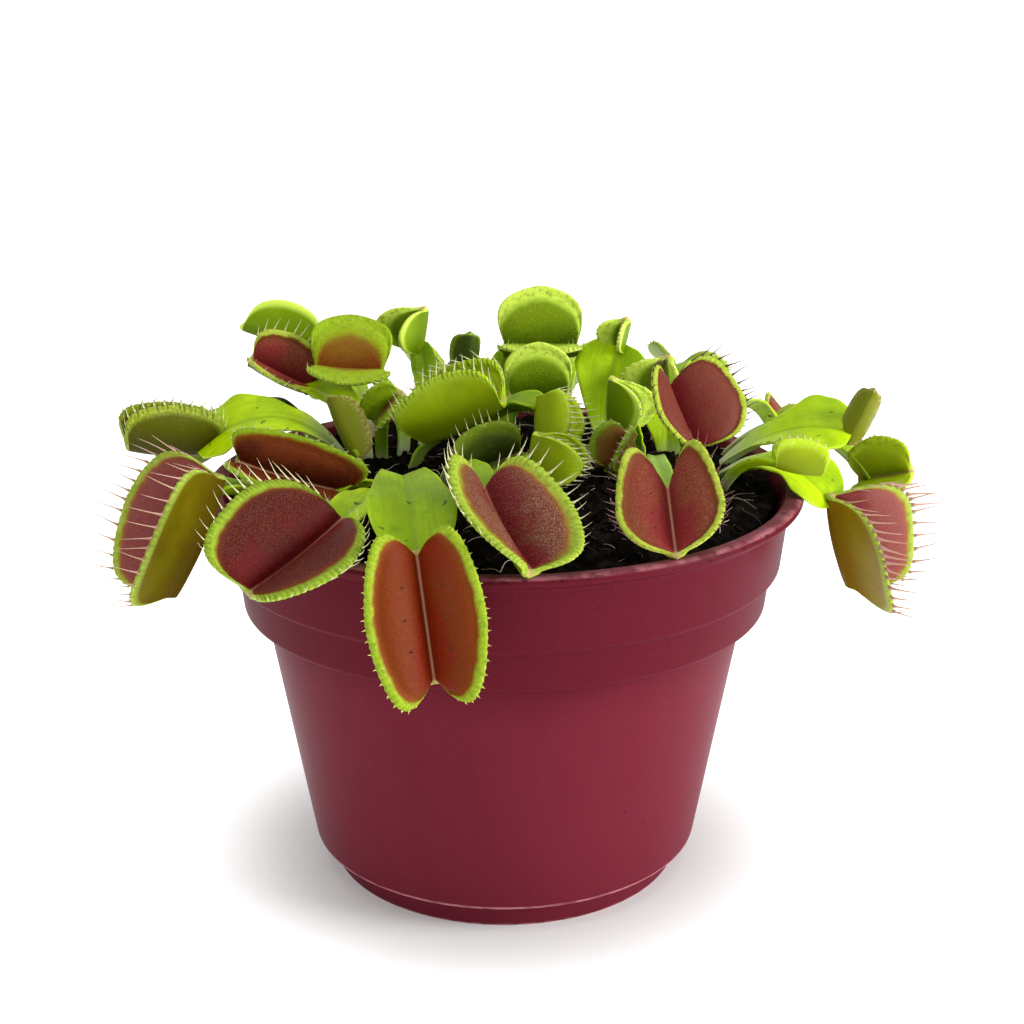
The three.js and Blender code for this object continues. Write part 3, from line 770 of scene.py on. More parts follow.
class GrowthTree:
    """A Geometry Nodes tree that grows small things on a piece and leaves a plain mesh."""

    def __init__(self, name: str, inputs: dict[str, tuple[str, object]]) -> None:
        """Makes the tree with its named inputs.

        Args:
            name: The tree's name.
            inputs: Each input's name, with its socket type and its usual value.
        """
        self.tree = bpy.data.node_groups.new(name, "GeometryNodeTree")
        face = self.tree.interface
        face.new_socket("Geometry", in_out="INPUT", socket_type="NodeSocketGeometry")
        face.new_socket("Geometry", in_out="OUTPUT", socket_type="NodeSocketGeometry")
        self.keys = {}
        for label, (kind, value) in inputs.items():
            item = face.new_socket(label, in_out="INPUT", socket_type=kind)
            if value is not None:
                item.default_value = value
            self.keys[label] = item.identifier
        self.bench = Bench(self.tree)
        self.entry = self.bench.node("NodeGroupInput")

    def given(self, label: str) -> Socket:
        """Gives the socket of a named input."""
        return self.entry.outputs[label]

    def named(self, name: str, kind: str = "FLOAT") -> Socket:
        """Reads a noted value of the geometry."""
        return self.bench.node("GeometryNodeInputNamedAttribute", {"Name": name}, data_type=kind).outputs[0]

    def store(self, geometry: Socket, name: str, value: Socket | float, domain: str = "POINT") -> Socket:
        """Notes a number on the geometry.

        Args:
            geometry: What the number is noted on.
            name: The note's name.
            value: The number.
            domain: Whether each point or each instance gets one.

        Returns:
            The geometry with the note.
        """
        inputs = {"Geometry": geometry, "Name": name, "Value": value}
        return self.bench.node("GeometryNodeStoreNamedAttribute", inputs, data_type="FLOAT",
                               domain=domain).outputs[0]

    def chance(self, low: float, high: float, seed: int) -> Socket:
        """Gives a number between two limits that differs from one instance to the next."""
        inputs = {2: low, 3: high, "Seed": self.bench.plus(self.given("Seed"), float(seed))}
        return self.bench.node("FunctionNodeRandomValue", inputs, data_type="FLOAT").outputs[1]

    def above(self, value: Socket, limit: float) -> Socket:
        """Tells whether a number is above a limit."""
        settings = {"data_type": "FLOAT", "operation": "GREATER_THAN"}
        return self.bench.node("FunctionNodeCompare", {0: value, 1: limit}, **settings).outputs[0]

    def rod(self, sides: int, segments: int, radius: float) -> Socket:
        """Makes a rod, one unit long, standing along Z."""
        inputs = {"Vertices": sides, "Side Segments": segments, "Radius": radius, "Depth": 1.0}
        return self.bench.node("GeometryNodeMeshCylinder", inputs).outputs["Mesh"]

    def moved(self, geometry: Socket, spot: Socket) -> Socket:
        """Moves each point of a shape to its new spot."""
        inputs = {"Geometry": geometry, "Position": spot}
        return self.bench.node("GeometryNodeSetPosition", inputs).outputs[0]

    def smooth(self, geometry: Socket) -> Socket:
        """Shades a shape smoothly."""
        return self.bench.node("GeometryNodeSetShadeSmooth", {"Geometry": geometry}).outputs[0]

    def sown(self, points: Socket, shape: Socket, turn: Socket, size: Socket, seed: int) -> Socket:
        """Puts a shape on each point and notes a tone for each.

        Args:
            points: Where the shapes go.
            shape: One shape, one unit in size.
            turn: How each one is turned.
            size: How large each one is.
            seed: What is added to the seed for the tones.

        Returns:
            The shapes as instances.
        """
        inputs = {"Points": points, "Instance": shape, "Rotation": turn, "Scale": size}
        made = self.bench.node("GeometryNodeInstanceOnPoints", inputs).outputs[0]
        return self.store(made, "tone", self.chance(0, 1, seed), "INSTANCE")

    def finish(self, parts: list[Socket], finishes: dict[str, str]) -> None:
        """Realizes everything and sets the finishes.

        Args:
            parts: The geometry that makes up the result.
            finishes: For each note that marks a kind of thing, the input with its finish.
        """
        join = self.bench.node("GeometryNodeJoinGeometry")
        for part in parts:
            self.tree.links.new(part, join.inputs[0])
        made = self.bench.node("GeometryNodeRealizeInstances", {"Geometry": join.outputs[0]}).outputs[0]
        for mark, label in finishes.items():
            marked = self.above(self.named(mark), 0.5)
            inputs = {"Geometry": made, "Selection": marked, "Material": self.given(label)}
            made = self.bench.node("GeometryNodeSetMaterial", inputs).outputs[0]
        self.tree.links.new(made, self.bench.node("NodeGroupOutput").inputs[0])

    def grow(self, piece: bpy.types.Object, values: dict[str, object], forget: tuple[str, ...]) -> None:
        """Runs the tree on a piece and keeps the result as its plain mesh.

        Args:
            piece: The piece to grow on.
            values: The inputs that differ from the usual ones.
            forget: Notes that nothing needs afterwards.
        """
        modifier = piece.modifiers.new("growth", "NODES")
        modifier.node_group = self.tree
        for label, value in values.items():
            modifier[self.keys[label]] = value
        graph = bpy.context.evaluated_depsgraph_get()
        grown = piece.evaluated_get(graph)
        made = bpy.data.meshes.new_from_object(grown, preserve_all_data_layers=True, depsgraph=graph)
        before = piece.data
        piece.modifiers.remove(modifier)
        piece.data = made
        made.name = piece.name
        bpy.data.meshes.remove(before)
        for note in forget:
            if note in made.attributes:
                made.attributes.remove(made.attributes[note])


class SpikeTree(GrowthTree):
    """Grows tapered, bent spikes: teeth on a trap's margin and trigger hairs on its faces."""

    def __init__(self) -> None:
        """Builds the tree."""
        super().__init__("margin_spikes", {
            "Foot Width": ("NodeSocketFloat", 0.1),
            "Bend": ("NodeSocketFloat", 0.14),
            "Seed": ("NodeSocketInt", 3),
            "Tooth Finish": ("NodeSocketMaterial", None),
            "Hair Finish": ("NodeSocketMaterial", None),
        })
        bench = self.bench
        marked = self.above(self.named("spike"), 0.0)
        inputs = {"Mesh": self.given("Geometry"), "Selection": marked}
        points = bench.node("GeometryNodeMeshToPoints", inputs).outputs[0]
        axes = {"Primary Axis": self.named("aim", "FLOAT_VECTOR"),
                "Secondary Axis": self.named("curl", "FLOAT_VECTOR")}
        stand = bench.node("FunctionNodeAxesToRotation", axes, primary_axis="Z", secondary_axis="X")
        lean = bench.vector(self.chance(-0.14, 0.14, 1), self.chance(-0.1, 0.16, 2),
                            self.chance(-0.6, 0.6, 3))
        tilt = bench.node("FunctionNodeEulerToRotation", {"Euler": lean})
        turns = {"Rotation": stand.outputs[0], "Rotate By": tilt.outputs[0]}
        turn = bench.node("FunctionNodeRotateRotation", turns, rotation_space="LOCAL").outputs[0]
        size = bench.times(self.named("spike"), self.chance(0.86, 1.08, 4))
        spikes = self.sown(points, self.spike(), turn, size, 5)
        self.finish([self.given("Geometry"), spikes], {"spiky": "Tooth Finish", "hairy": "Hair Finish"})

    def spike(self) -> Socket:
        """Makes one spike, one unit long, broad at its foot and fine at its point.

        Returns:
            The spike.
        """
        bench = self.bench
        x, y, z = bench.split(bench.node("GeometryNodeInputPosition").outputs[0])
        along = bench.plus(z, 0.5)
        taper = bench.node("ShaderNodeFloatCurve", {"Value": along})
        curve = taper.mapping.curves[0]
        curve.points[0].location = (0.0, 1.0)
        curve.points[1].location = (1.0, 0.03)
        for place in ((0.14, 0.52), (0.34, 0.34), (0.7, 0.2)):
            curve.points.new(*place)
        taper.mapping.update()
        half = bench.times(taper.outputs[0], self.given("Foot Width"))
        bow = bench.times(bench.times(along, along), self.given("Bend"))
        side = bench.plus(bench.times(bench.times(x, half), 0.7), bow)
        spot = bench.vector(side, bench.times(y, half), along)
        spike = self.store(self.moved(self.rod(6, 7, 1.0), spot), "tip", along)
        return self.smooth(self.store(spike, "spiky", 1.0))


class LitterTree(GrowthTree):
    """Strews crumbs and fine fibres over the peat."""

    def __init__(self) -> None:
        """Builds the tree."""
        super().__init__("peat_litter", {
            "Crumbs": ("NodeSocketFloat", 90000.0),
            "Fibres": ("NodeSocketFloat", 26000.0),
            "Seed": ("NodeSocketInt", 11),
            "Crumb Finish": ("NodeSocketMaterial", None),
            "Fibre Finish": ("NodeSocketMaterial", None),
        })
        crumbs = self.strewn("Crumbs", self.crumb(), 20, (0.00035, 0.0013), "crumb")
        fibres = self.strewn("Fibres", self.fibre(), 40, (0.003, 0.011), "fibre")
        finishes = {"crumb": "Crumb Finish", "fibre": "Fibre Finish"}
        self.finish([self.given("Geometry"), crumbs, fibres], finishes)

    def strewn(self, density: str, shape: Socket, seed: int, sizes: tuple[float, float], mark: str) -> Socket:
        """Strews a shape over the top.

        Args:
            density: The input with the number of pieces a square metre.
            shape: One piece, one unit in size.
            seed: What is added to the seed for this kind.
            sizes: The smallest and the largest size, in metres.
            mark: The note that marks this kind.

        Returns:
            The strewn pieces.
        """
        bench = self.bench
        inputs = {"Mesh": self.given("Geometry"), "Selection": self.above(self.named("top"), 0.5),
                  "Density": self.given(density), "Seed": bench.plus(self.given("Seed"), float(seed))}
        points = bench.node("GeometryNodeDistributePointsOnFaces", inputs).outputs["Points"]
        flat = mark == "fibre"
        tilt = 0.35 if flat else 3.1
        euler = bench.vector(self.chance(-tilt, tilt, seed + 1), self.chance(-tilt, tilt, seed + 2),
                             self.chance(0, 6.28, seed + 3))
        turn = bench.node("FunctionNodeEulerToRotation", {"Euler": euler}).outputs[0]
        size = self.chance(*sizes, seed + 4)
        squeeze = [1.0, 1.0, 1.0] if flat else [self.chance(0.6, 1.3, seed + k) for k in (5, 6, 7)]
        scale = bench.vector(*(bench.times(size, part) for part in squeeze))
        return self.store(self.sown(points, shape, turn, scale, seed + 8), mark, 1.0, "INSTANCE")

    def crumb(self) -> Socket:
        """Makes one knobbly crumb.

        Returns:
            The crumb, about one unit across.
        """
        bench = self.bench
        ball = bench.node("GeometryNodeMeshIcoSphere", {"Radius": 0.6, "Subdivisions": 2}).outputs[0]
        place = bench.node("GeometryNodeInputPosition").outputs[0]
        swell = bench.step(bench.noise(place, 2.6, 2), 0.3, 0.7, 0.55, 1.35)
        spot = bench.node("ShaderNodeVectorMath", {0: place, "Scale": swell}, operation="SCALE").outputs[0]
        return self.moved(ball, spot)

    def fibre(self) -> Socket:
        """Makes one curling fibre, lying along X.

        Returns:
            The fibre, one unit long.
        """
        bench = self.bench
        x, y, z = bench.split(bench.node("GeometryNodeInputPosition").outputs[0])
        sway = bench.times(bench.math("SINE", bench.times(z, 5.0)), 0.16)
        lift = bench.times(bench.math("COSINE", bench.times(z, 7.0)), 0.06)
        spot = bench.vector(z, bench.plus(x, sway), bench.plus(y, lift))
        return self.smooth(self.moved(self.rod(4, 10, 0.009), spot))


@dataclass
class Leaf:
    """One leaf: a winged stalk and the two-lobed trap at its end, lengths in millimetres."""

    name: str
    root: tuple[float, float]
    pull: Triple
    joint: Triple
    midrib: Triple
    mouth: Triple
    lobe: float
    gape: Gape
    blade: float
    look: TrapLook
    teeth: int = 12
    tooth: float = 0.42
    lean: float = 0.5
    fold: float = 18.0
    twist: float = 0.0
    shoulders: tuple[float, float] = (0.7, 0.6)
    beads: float = 0.35
    comb: tuple[float, float] = (1.0, 1.0)
    lobes: tuple[float, float] = (1.0, 1.0)
    stout: float = 1.0
    spikes: SpikeLook = SpikeLook.CREAM
    wings: BladeLook = BladeLook.DEEP
    near: bool = False
    x: np.ndarray = field(init=False, repr=False)
    y: np.ndarray = field(init=False, repr=False)
    z: np.ndarray = field(init=False, repr=False)
    length: float = field(init=False)

    def __post_init__(self) -> None:
        """Works out the trap's own axes: along the midrib, across it and out of its mouth."""
        self.x = unit(np.array(self.midrib))
        mouth = np.array(self.mouth)
        self.z = unit(mouth - self.x * np.dot(mouth, self.x))
        self.y = np.cross(self.z, self.x)
        self.length = float(np.linalg.norm(self.midrib))

    @property
    def seed(self) -> int:
        """Gives the leaf's seed, from the letters of its name."""
        return sum(map(ord, self.name))

    @property
    def spacing(self) -> float:
        """Gives the turn from one tooth to the next."""
        return math.pi / (self.teeth + 0.4)

    def width(self, turn: np.ndarray) -> np.ndarray:
        """Gives a lobe's width from midrib to margin."""
        return self.lobe * np.sin(turn).clip(0) ** LOBE_ROUNDNESS

    def steepness(self, distance: np.ndarray) -> np.ndarray:
        """Gives a lobe's slope at a distance from the midrib, eased into a rounded valley."""
        start, end = self.gape.value
        return np.radians(start + (end - start) * distance / self.lobe) * ease(distance, -0.15, 1.1)

    def lobe_point(self, side: int, turn: np.ndarray, share: np.ndarray) -> tuple[np.ndarray, np.ndarray]:
        """Gives places on a lobe's inner face.

        Args:
            side: Which lobe, 1 or -1.
            turn: From 0 at the joint to pi at the tip, along the margin.
            share: From 0 on the midrib to 1 on the margin.

        Returns:
            The places, and the way out of the lobe's back at each.
        """
        shoulder = np.where(turn < math.pi / 2, *self.shoulders)
        reach = 1 + shoulder * np.abs(np.sin(2 * turn)) ** 0.8
        on_rib = (1 - np.cos(turn)) / 2
        on_edge = (1 - np.cos(turn) * reach) / 2
        distance = self.width(turn) * share
        away = distance[..., None] * ((np.arange(ARC_STEPS) + 0.5) / ARC_STEPS)
        angles = self.steepness(away)
        out = (np.cos(angles).mean(-1) * distance)[..., None]
        rise = (np.sin(angles).mean(-1) * distance)[..., None]
        steep = self.steepness(distance)[..., None]
        arch = math.radians(MIDRIB_ARCH)
        slope = (arch * (mix(on_rib, on_edge, share) - 0.5))[..., None]
        radius = self.length / (2 * math.sin(arch / 2))
        along = radius * (np.sin(slope) + math.sin(arch / 2))
        sag = radius * (math.cos(arch / 2) - np.cos(slope))
        place = (np.array(self.joint) + self.x * (along - rise * np.sin(slope))
                 + self.y * side * out + self.z * (sag + rise * np.cos(slope)))
        back = (self.x * np.cos(steep) * np.sin(slope) + self.y * side * np.sin(steep)
                - self.z * np.cos(steep) * np.cos(slope))
        return place, back

    def shares(self) -> tuple[np.ndarray, np.ndarray]:
        """Spaces the points between midrib and margin.

        Returns:
            Their shares of the way from the midrib, out over the face and back over the outside.
        """
        inner = (0, 0.03, 0.09, 0.18, 0.3, 0.44, 0.58, 0.7, 0.8, 0.87, 0.93, 1)
        outer = (1, 0.9, 0.76, 0.56, 0.36, 0.18, 0.07, 0)
        if self.near:
            inner = (0, 0.02, 0.05, 0.1, 0.17, 0.26, 0.36, 0.46, 0.56, 0.66, 0.75, 0.82, 0.87, 0.91,
                     0.94, 0.97, 1)
            outer = (1, 0.95, 0.88, 0.78, 0.66, 0.54, 0.42, 0.3, 0.18, 0.09, 0.03, 0)
        return np.array(inner), np.array(outer)

    def turns(self) -> tuple[np.ndarray, np.ndarray]:
        """Spreads rows of points along the margin, closer together at its two ends.

        Returns:
            The turn of each row, and the numbers of the rows that carry a tooth.
        """
        steps = 8 if self.near else 5
        ends = np.array([0, 0.1, 0.22, 0.36, 0.52]) * self.spacing
        core = (np.arange((self.teeth - 1) * steps + 1) / steps + 0.7) * self.spacing
        base = np.concatenate([ends, core, math.pi - ends[::-1]])[:, None]
        return base, len(ends) + np.arange(self.teeth) * steps

    def relief(self, turn: np.ndarray, share: np.ndarray,
               phase: np.ndarray) -> tuple[np.ndarray, np.ndarray]:
        """Shapes the pillowed face, the groove beside the margin, the beads and the rounded rim.

        Args:
            turn: From 0 at the joint to pi at the tip, at each point.
            share: From 0 on the midrib to 1 on the margin, at each point.
            phase: From 0 between two beads to 1 on a bead, for each row.

        Returns:
            How far each point lies behind the plain inner face, and how far past the margin.
        """
        inner, outer = (len(shares) for shares in self.shares())
        rim = np.radians(RIM_ANGLES)
        width = self.width(turn)
        edge, rib = width * (1 - share), width * share
        full = ease(width, *FULL_WIDTH)
        thickness = LOBE_THICKNESS + (MIDRIB_THICKNESS - LOBE_THICKNESS) * bell(rib, 0, 1.2)
        swell = full * bell(edge, 0.5, 0.6) * (0.1 + 0.3 * phase * self.beads)
        inside = (rib / (width - 1.5).clip(0.5)).clip(0, 1)
        pillow = full * width * PILLOW * (4 * inside * (1 - inside)) ** 0.7
        hollow = full * bell(edge, 1.7, 0.4) * 0.12 - pillow
        depth = np.zeros_like(turn)
        depth[:, :inner] = (hollow - swell)[:, :inner]
        depth[:, -outer:] = (thickness + 0.35 * swell)[:, -outer:]
        start, end = depth[:, inner - 1:inner], depth[:, -outer:][:, :1]
        depth[:, inner:-outer] = start + (end - start) * (1 - np.cos(rim)) / 2
        proud = np.zeros_like(turn)
        proud[:, inner:-outer] = np.sin(rim) * (end - start) / 2
        return depth, proud + full * bell(edge, 0, 0.8) * 0.26 * phase * self.beads

    def tooth_lengths(self, side: int, turns: np.ndarray) -> np.ndarray:
        """Gives the teeth's lengths, in metres.

        Args:
            side: Which lobe, 1 or -1.
            turns: Where the teeth stand, from 0 at the joint to pi at the tip.

        Returns:
            The length of each tooth.
        """
        size = self.lobe * self.tooth * mix(END_TOOTH, 1, np.sin(turns))
        comb = np.maximum(mix(*self.comb, turns / math.pi), SHORTEST_TOOTH)
        return size * comb * self.lobes[side < 0] * MM

    def hair_points(self, base: np.ndarray) -> list[tuple[int, int]]:
        """Gives the points that carry a trigger hair.

        Args:
            base: The turn of each row of points.

        Returns:
            The row and the column of each such point.
        """
        if self.gape is Gape.SHUT or not self.near:
            return []
        column = int(np.argmin(np.abs(self.shares()[0] - 0.5)))
        rows = [int(np.argmin(np.abs(base[:, 0] - place * math.pi))) for place in TRIGGER_PLACES]
        return [(row, column) for row in rows]

    def lobe_skin(self, side: int, shell: Shell) -> None:
        """Adds one lobe: its inner face, its beaded margin and its outside.

        Args:
            side: Which lobe, 1 or -1.
            shell: The skin that it is added to.
        """
        inner, outer = self.shares()
        crest = len(inner) + len(RIM_ANGLES) // 2
        base, rows = self.turns()
        uneven = 0.72 + 0.28 * np.sin(base * 9.7 + side) * np.sin(base * 23.0 + len(self.name))
        phase = 1 - (0.5 - 0.5 * np.cos(4 * math.pi * (base / self.spacing - 0.7))) * uneven
        share = np.concatenate([inner, np.ones(len(RIM_ANGLES)), outer])[None, :]
        turn = base + side * self.spacing / 4 * share * np.sin(base)
        share = np.broadcast_to(share, turn.shape)
        place, back = self.lobe_point(side, turn, share)
        before, _ = self.lobe_point(side, turn, share * 0.9)
        beyond = unit(place - before)
        at_end = np.abs(np.sin(base))[..., None] < 1e-6
        beyond = np.where(at_end, self.x * np.sign(base - 1)[..., None], beyond)
        depth, proud = self.relief(turn, share, phase)
        points = place + back * depth[..., None] + beyond * proud[..., None]
        spike, hairy = np.zeros_like(turn), np.zeros_like(turn)
        spike[rows, crest] = self.tooth_lengths(side, turn[rows, crest])
        aim, curl = unit(beyond - back * self.lean), -back
        for here in self.hair_points(base):
            spike[here], hairy[here] = TRIGGER_HAIR * MM, 1.0
            aim[here], curl[here] = -back[here], self.x
        width = self.width(turn)
        edge = width * (1 - share)
        # Where the margin dips between beads; the finishes paint shade there.
        groove = (1 - phase) * self.beads * ease(width, *FULL_WIDTH) * bell(edge, 0.1, 0.75)
        spot = np.stack([width * share, edge, turn / math.pi], -1)
        notes = {"spot": spot, "groove": groove, "spike": spike, "hairy": hairy, "aim": aim, "curl": curl}
        slots = np.where(np.arange(turn.shape[1] - 1) < crest, 0, 1)
        shell.grid(points, notes, slots, turned=side < 0)

    def stalk_line(self, count: int) -> tuple[np.ndarray, np.ndarray, np.ndarray, np.ndarray]:
        """Bends the stalk's middle line from its foot in the peat to the trap.

        Args:
            count: How many points the line has.

        Returns:
            Each point's share of the way, its place, and the ways across the stalk and up from it.
        """
        root = np.array(self.root, float)
        start = np.array([*root, float(soil_height(*root)) - ROOT_DEPTH])
        pull = np.array(self.pull, float)
        end = np.array(self.joint) + self.x * STALK_REACH - self.z * MIDRIB_THICKNESS / 2
        share = (np.linspace(0, 1, count) ** 0.9)[:, None]
        centre = (1 - share) ** 2 * start + 2 * share * (1 - share) * pull + share ** 2 * end
        tangent = unit((1 - share) * (pull - start) + share * (end - pull))
        level = unit(np.array([start[1] - end[1], end[0] - start[0], 0.0]))
        across = unit(level - tangent * dot(level, tangent))
        angle = np.radians(self.twist) * share
        across = across * np.cos(angle) + np.cross(tangent, across) * np.sin(angle)
        return share, centre, across, np.cross(tangent, across)

    def stalk_skin(self, shell: Shell) -> None:
        """Adds the winged stalk.

        Args:
            shell: The skin that it is added to.
        """
        wide = self.blade > WIDE_BLADE
        share, centre, across, up = self.stalk_line(44 if wide else 30)
        past = ((share - WIDEST_AT) / (1 - WIDEST_AT)).clip(0, 1)
        shape = np.where(share < WIDEST_AT, (share / WIDEST_AT) ** 1.6, np.sqrt(1 - past * past))
        half = mix(STALK_WIDTH, self.blade, shape) / 2
        steps = [0.14, 0.3, 0.5, 0.72, 0.9, 1] if wide else [0.35, 0.75, 1]
        sides = np.array([-step for step in steps[::-1]] + [0] + steps)
        ring = np.concatenate([sides[::-1], [-1.0], sides, [1.0]])[None, :]
        top = np.concatenate([np.ones(len(sides)), [0.5], np.zeros(len(sides)), [0.5]])[None, :]
        ring = ring * np.where(top == 0.5, 1.0, 0.985)
        reach = ring * half
        fold = math.radians(self.fold)
        vee = (np.sqrt(reach ** 2 + 0.3) - math.sqrt(0.3)) * math.sin(fold)
        thin = BLADE_EDGE / 2 * (1 - 0.35 * np.abs(ring) ** 4)
        groove = 0.22 * bell(reach, 0, 0.7) * ease(half, 1.4, 3.0)
        keel = (BLADE_RIB - BLADE_EDGE) * bell(reach, 0, 1.15)
        rise = np.where(top == 1, thin - groove, np.where(top == 0, -thin - keel, 0.0))
        wave = np.sin(2 * math.pi * (share * 2.6 + self.seed * 0.137))
        wave = wave + 0.5 * np.sin(2 * math.pi * (share * 5.7 + self.seed * 0.31))
        wave = wave * np.abs(ring) ** 3 * BLADE_WAVE * self.blade * shape
        aside = (reach * math.cos(fold))[..., None]
        points = centre[:, None] + across[:, None] * aside + up[:, None] * (vee + rise + wave)[..., None]
        spot = np.stack(np.broadcast_arrays(ring, share, reach), -1)
        blank = np.zeros(points.shape[:2])
        notes = {"spot": spot, "groove": blank, "spike": blank, "hairy": blank,
                 "aim": np.zeros_like(points), "curl": np.zeros_like(points)}
        index = shell.grid(points, notes, 2, loop=True)
        shell.cap(index[0], turned=True)
        shell.cap(index[-1], turned=False)

    def build(self, spikes: SpikeTree) -> bpy.types.Object:
        """Makes the leaf's piece.

        Args:
            spikes: The tree that grows the teeth and hairs.

        Returns:
            The finished piece.
        """
        look = self.look.value
        finishes = [look.face(), look.outside(), self.wings.value.mixed()]
        trap, stalk = Shell(), Shell()
        for side in (1, -1):
            self.lobe_skin(side, trap)
        self.stalk_skin(stalk)
        name = f"{self.name}_leaf"
        piece = placed(name, joined(name, [trap.mesh(name, finishes), stalk.mesh(name, finishes)]))
        foot = NEAR_TOOTH_FOOT if self.near else FAR_TOOTH_FOOT
        values = {"Seed": self.seed, "Foot Width": self.stout * foot / (self.lobe * self.tooth),
                  "Tooth Finish": self.spikes.value.mixed(), "Hair Finish": SpikeLook.TRIGGER.value.mixed()}
        spikes.grow(piece, values, ("spike", "aim", "curl", "spiky", "hairy"))
        return piece


@dataclass
class Plant:
    """All the leaves, each rooted in the peat."""

    leaves: list[Leaf] = field(default_factory=lambda: list(LEAVES))

    def build(self) -> None:
        """Makes every leaf and lets it stand for its solid."""
        spikes = SpikeTree()
        for leaf in self.leaves:
            piece = leaf.build(spikes)
            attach(piece, BODY)
            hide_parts(f"leaf_{leaf.name}")
            log.info("%s: %d faces", piece.name, len(piece.data.polygons))


@dataclass
class Pot:
    """The round stepped pot with its lip, its foot and the drain holes in its floor."""

    segments: int = 176
    rounding: float = 0.75
    drains: int = 6
    drain_radius: float = 3.0
    drain_circle: float = 22.0
    drain_corners: int = 28

    def outline(self) -> list[tuple[float, float]]:
        """Gives the wall's outline as radius and height, from the axis out, up, in and down.

        Returns:
            The outline's corners.
        """
        return [
            (0, 0), (12, 0), (13, 1.5), (30, 1.5), (31, 0), (36.4, 0), (37.4, 5.2), (40.4, 5.9),
            (49.4, 57), (53.5, 57.6), (54.4, BAND_TOP), (56.2, 66.1), (57.6, 78.8), (LIP_RADIUS, 80.4),
            (59.9, POT_HEIGHT), (56.8, 81.6), (LIP_INNER_RADIUS, 78.6), (53, BAND_TOP), (52, 59.2),
            (48, 57.4), (39, 7.1), (35.8, 6.1), (35.2, 4), (0, 4),
        ]

    def rounded(self) -> np.ndarray:
        """Rounds the outline's corners.

        Returns:
            The rounded outline's points, as radius and height.
        """
        outline = [np.array(p, float) for p in self.outline()]
        made = [outline[0]]
        for before, corner, after in zip(outline, outline[1:], outline[2:]):
            back, on = before - corner, after - corner
            cut = min(self.rounding, 0.42 * np.linalg.norm(back), 0.42 * np.linalg.norm(on))
            start, end = corner + unit(back) * cut, corner + unit(on) * cut
            for t in np.linspace(0, 1, 5):
                made.append((1 - t) ** 2 * start + 2 * t * (1 - t) * corner + t ** 2 * end)
        made.append(outline[-1])
        return np.array(made)

    def build(self) -> None:
        """Makes the pot's piece and lets it stand for its solid."""
        profile = self.rounded()
        angles = np.arange(self.segments) / self.segments * 2 * math.pi
        radius, height = profile[:, :1], profile[:, 1:]
        points = np.stack(np.broadcast_arrays(radius * np.cos(angles), radius * np.sin(angles), height), -1)
        shell = Shell()
        shell.grid(points, {}, loop=True)
        piece = placed("flower_pot", shell.mesh("flower_pot", [PotFinish().mixed()]))
        drill = placed("drill", self.drill())
        cut = piece.modifiers.new("drains", "BOOLEAN")
        cut.object, cut.operation, cut.solver = drill, "DIFFERENCE", "EXACT"
        graph = bpy.context.evaluated_depsgraph_get()
        made = bpy.data.meshes.new_from_object(piece.evaluated_get(graph), depsgraph=graph)
        piece.modifiers.remove(cut)
        piece.data = made
        bpy.data.objects.remove(drill)
        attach(piece, BODY)
        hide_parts("pot")
        log.info("pot: %d faces", len(made.polygons))

    def drill(self) -> bpy.types.Mesh:
        """Makes the rods that cut the drain holes.

        Returns:
            One mesh of all the rods.
        """
        rods = []
        for number in range(self.drains):
            angle = (number + 0.5) / self.drains * 2 * math.pi
            corners = np.arange(self.drain_corners) / self.drain_corners * 2 * math.pi
            x = self.drain_circle * math.cos(angle) + self.drain_radius * np.cos(corners)
            y = self.drain_circle * math.sin(angle) + self.drain_radius * np.sin(corners)
            shell = Shell()
            points = np.stack([np.stack([x, y, np.full_like(x, height)], -1) for height in (-4.0, 8.0)])
            index = shell.grid(points, {}, loop=True)
            shell.cap(index[0], turned=True)
            shell.cap(index[-1], turned=False)
            rods.append(shell.mesh(f"rod_{number}", []))
        return joined("rods", rods)


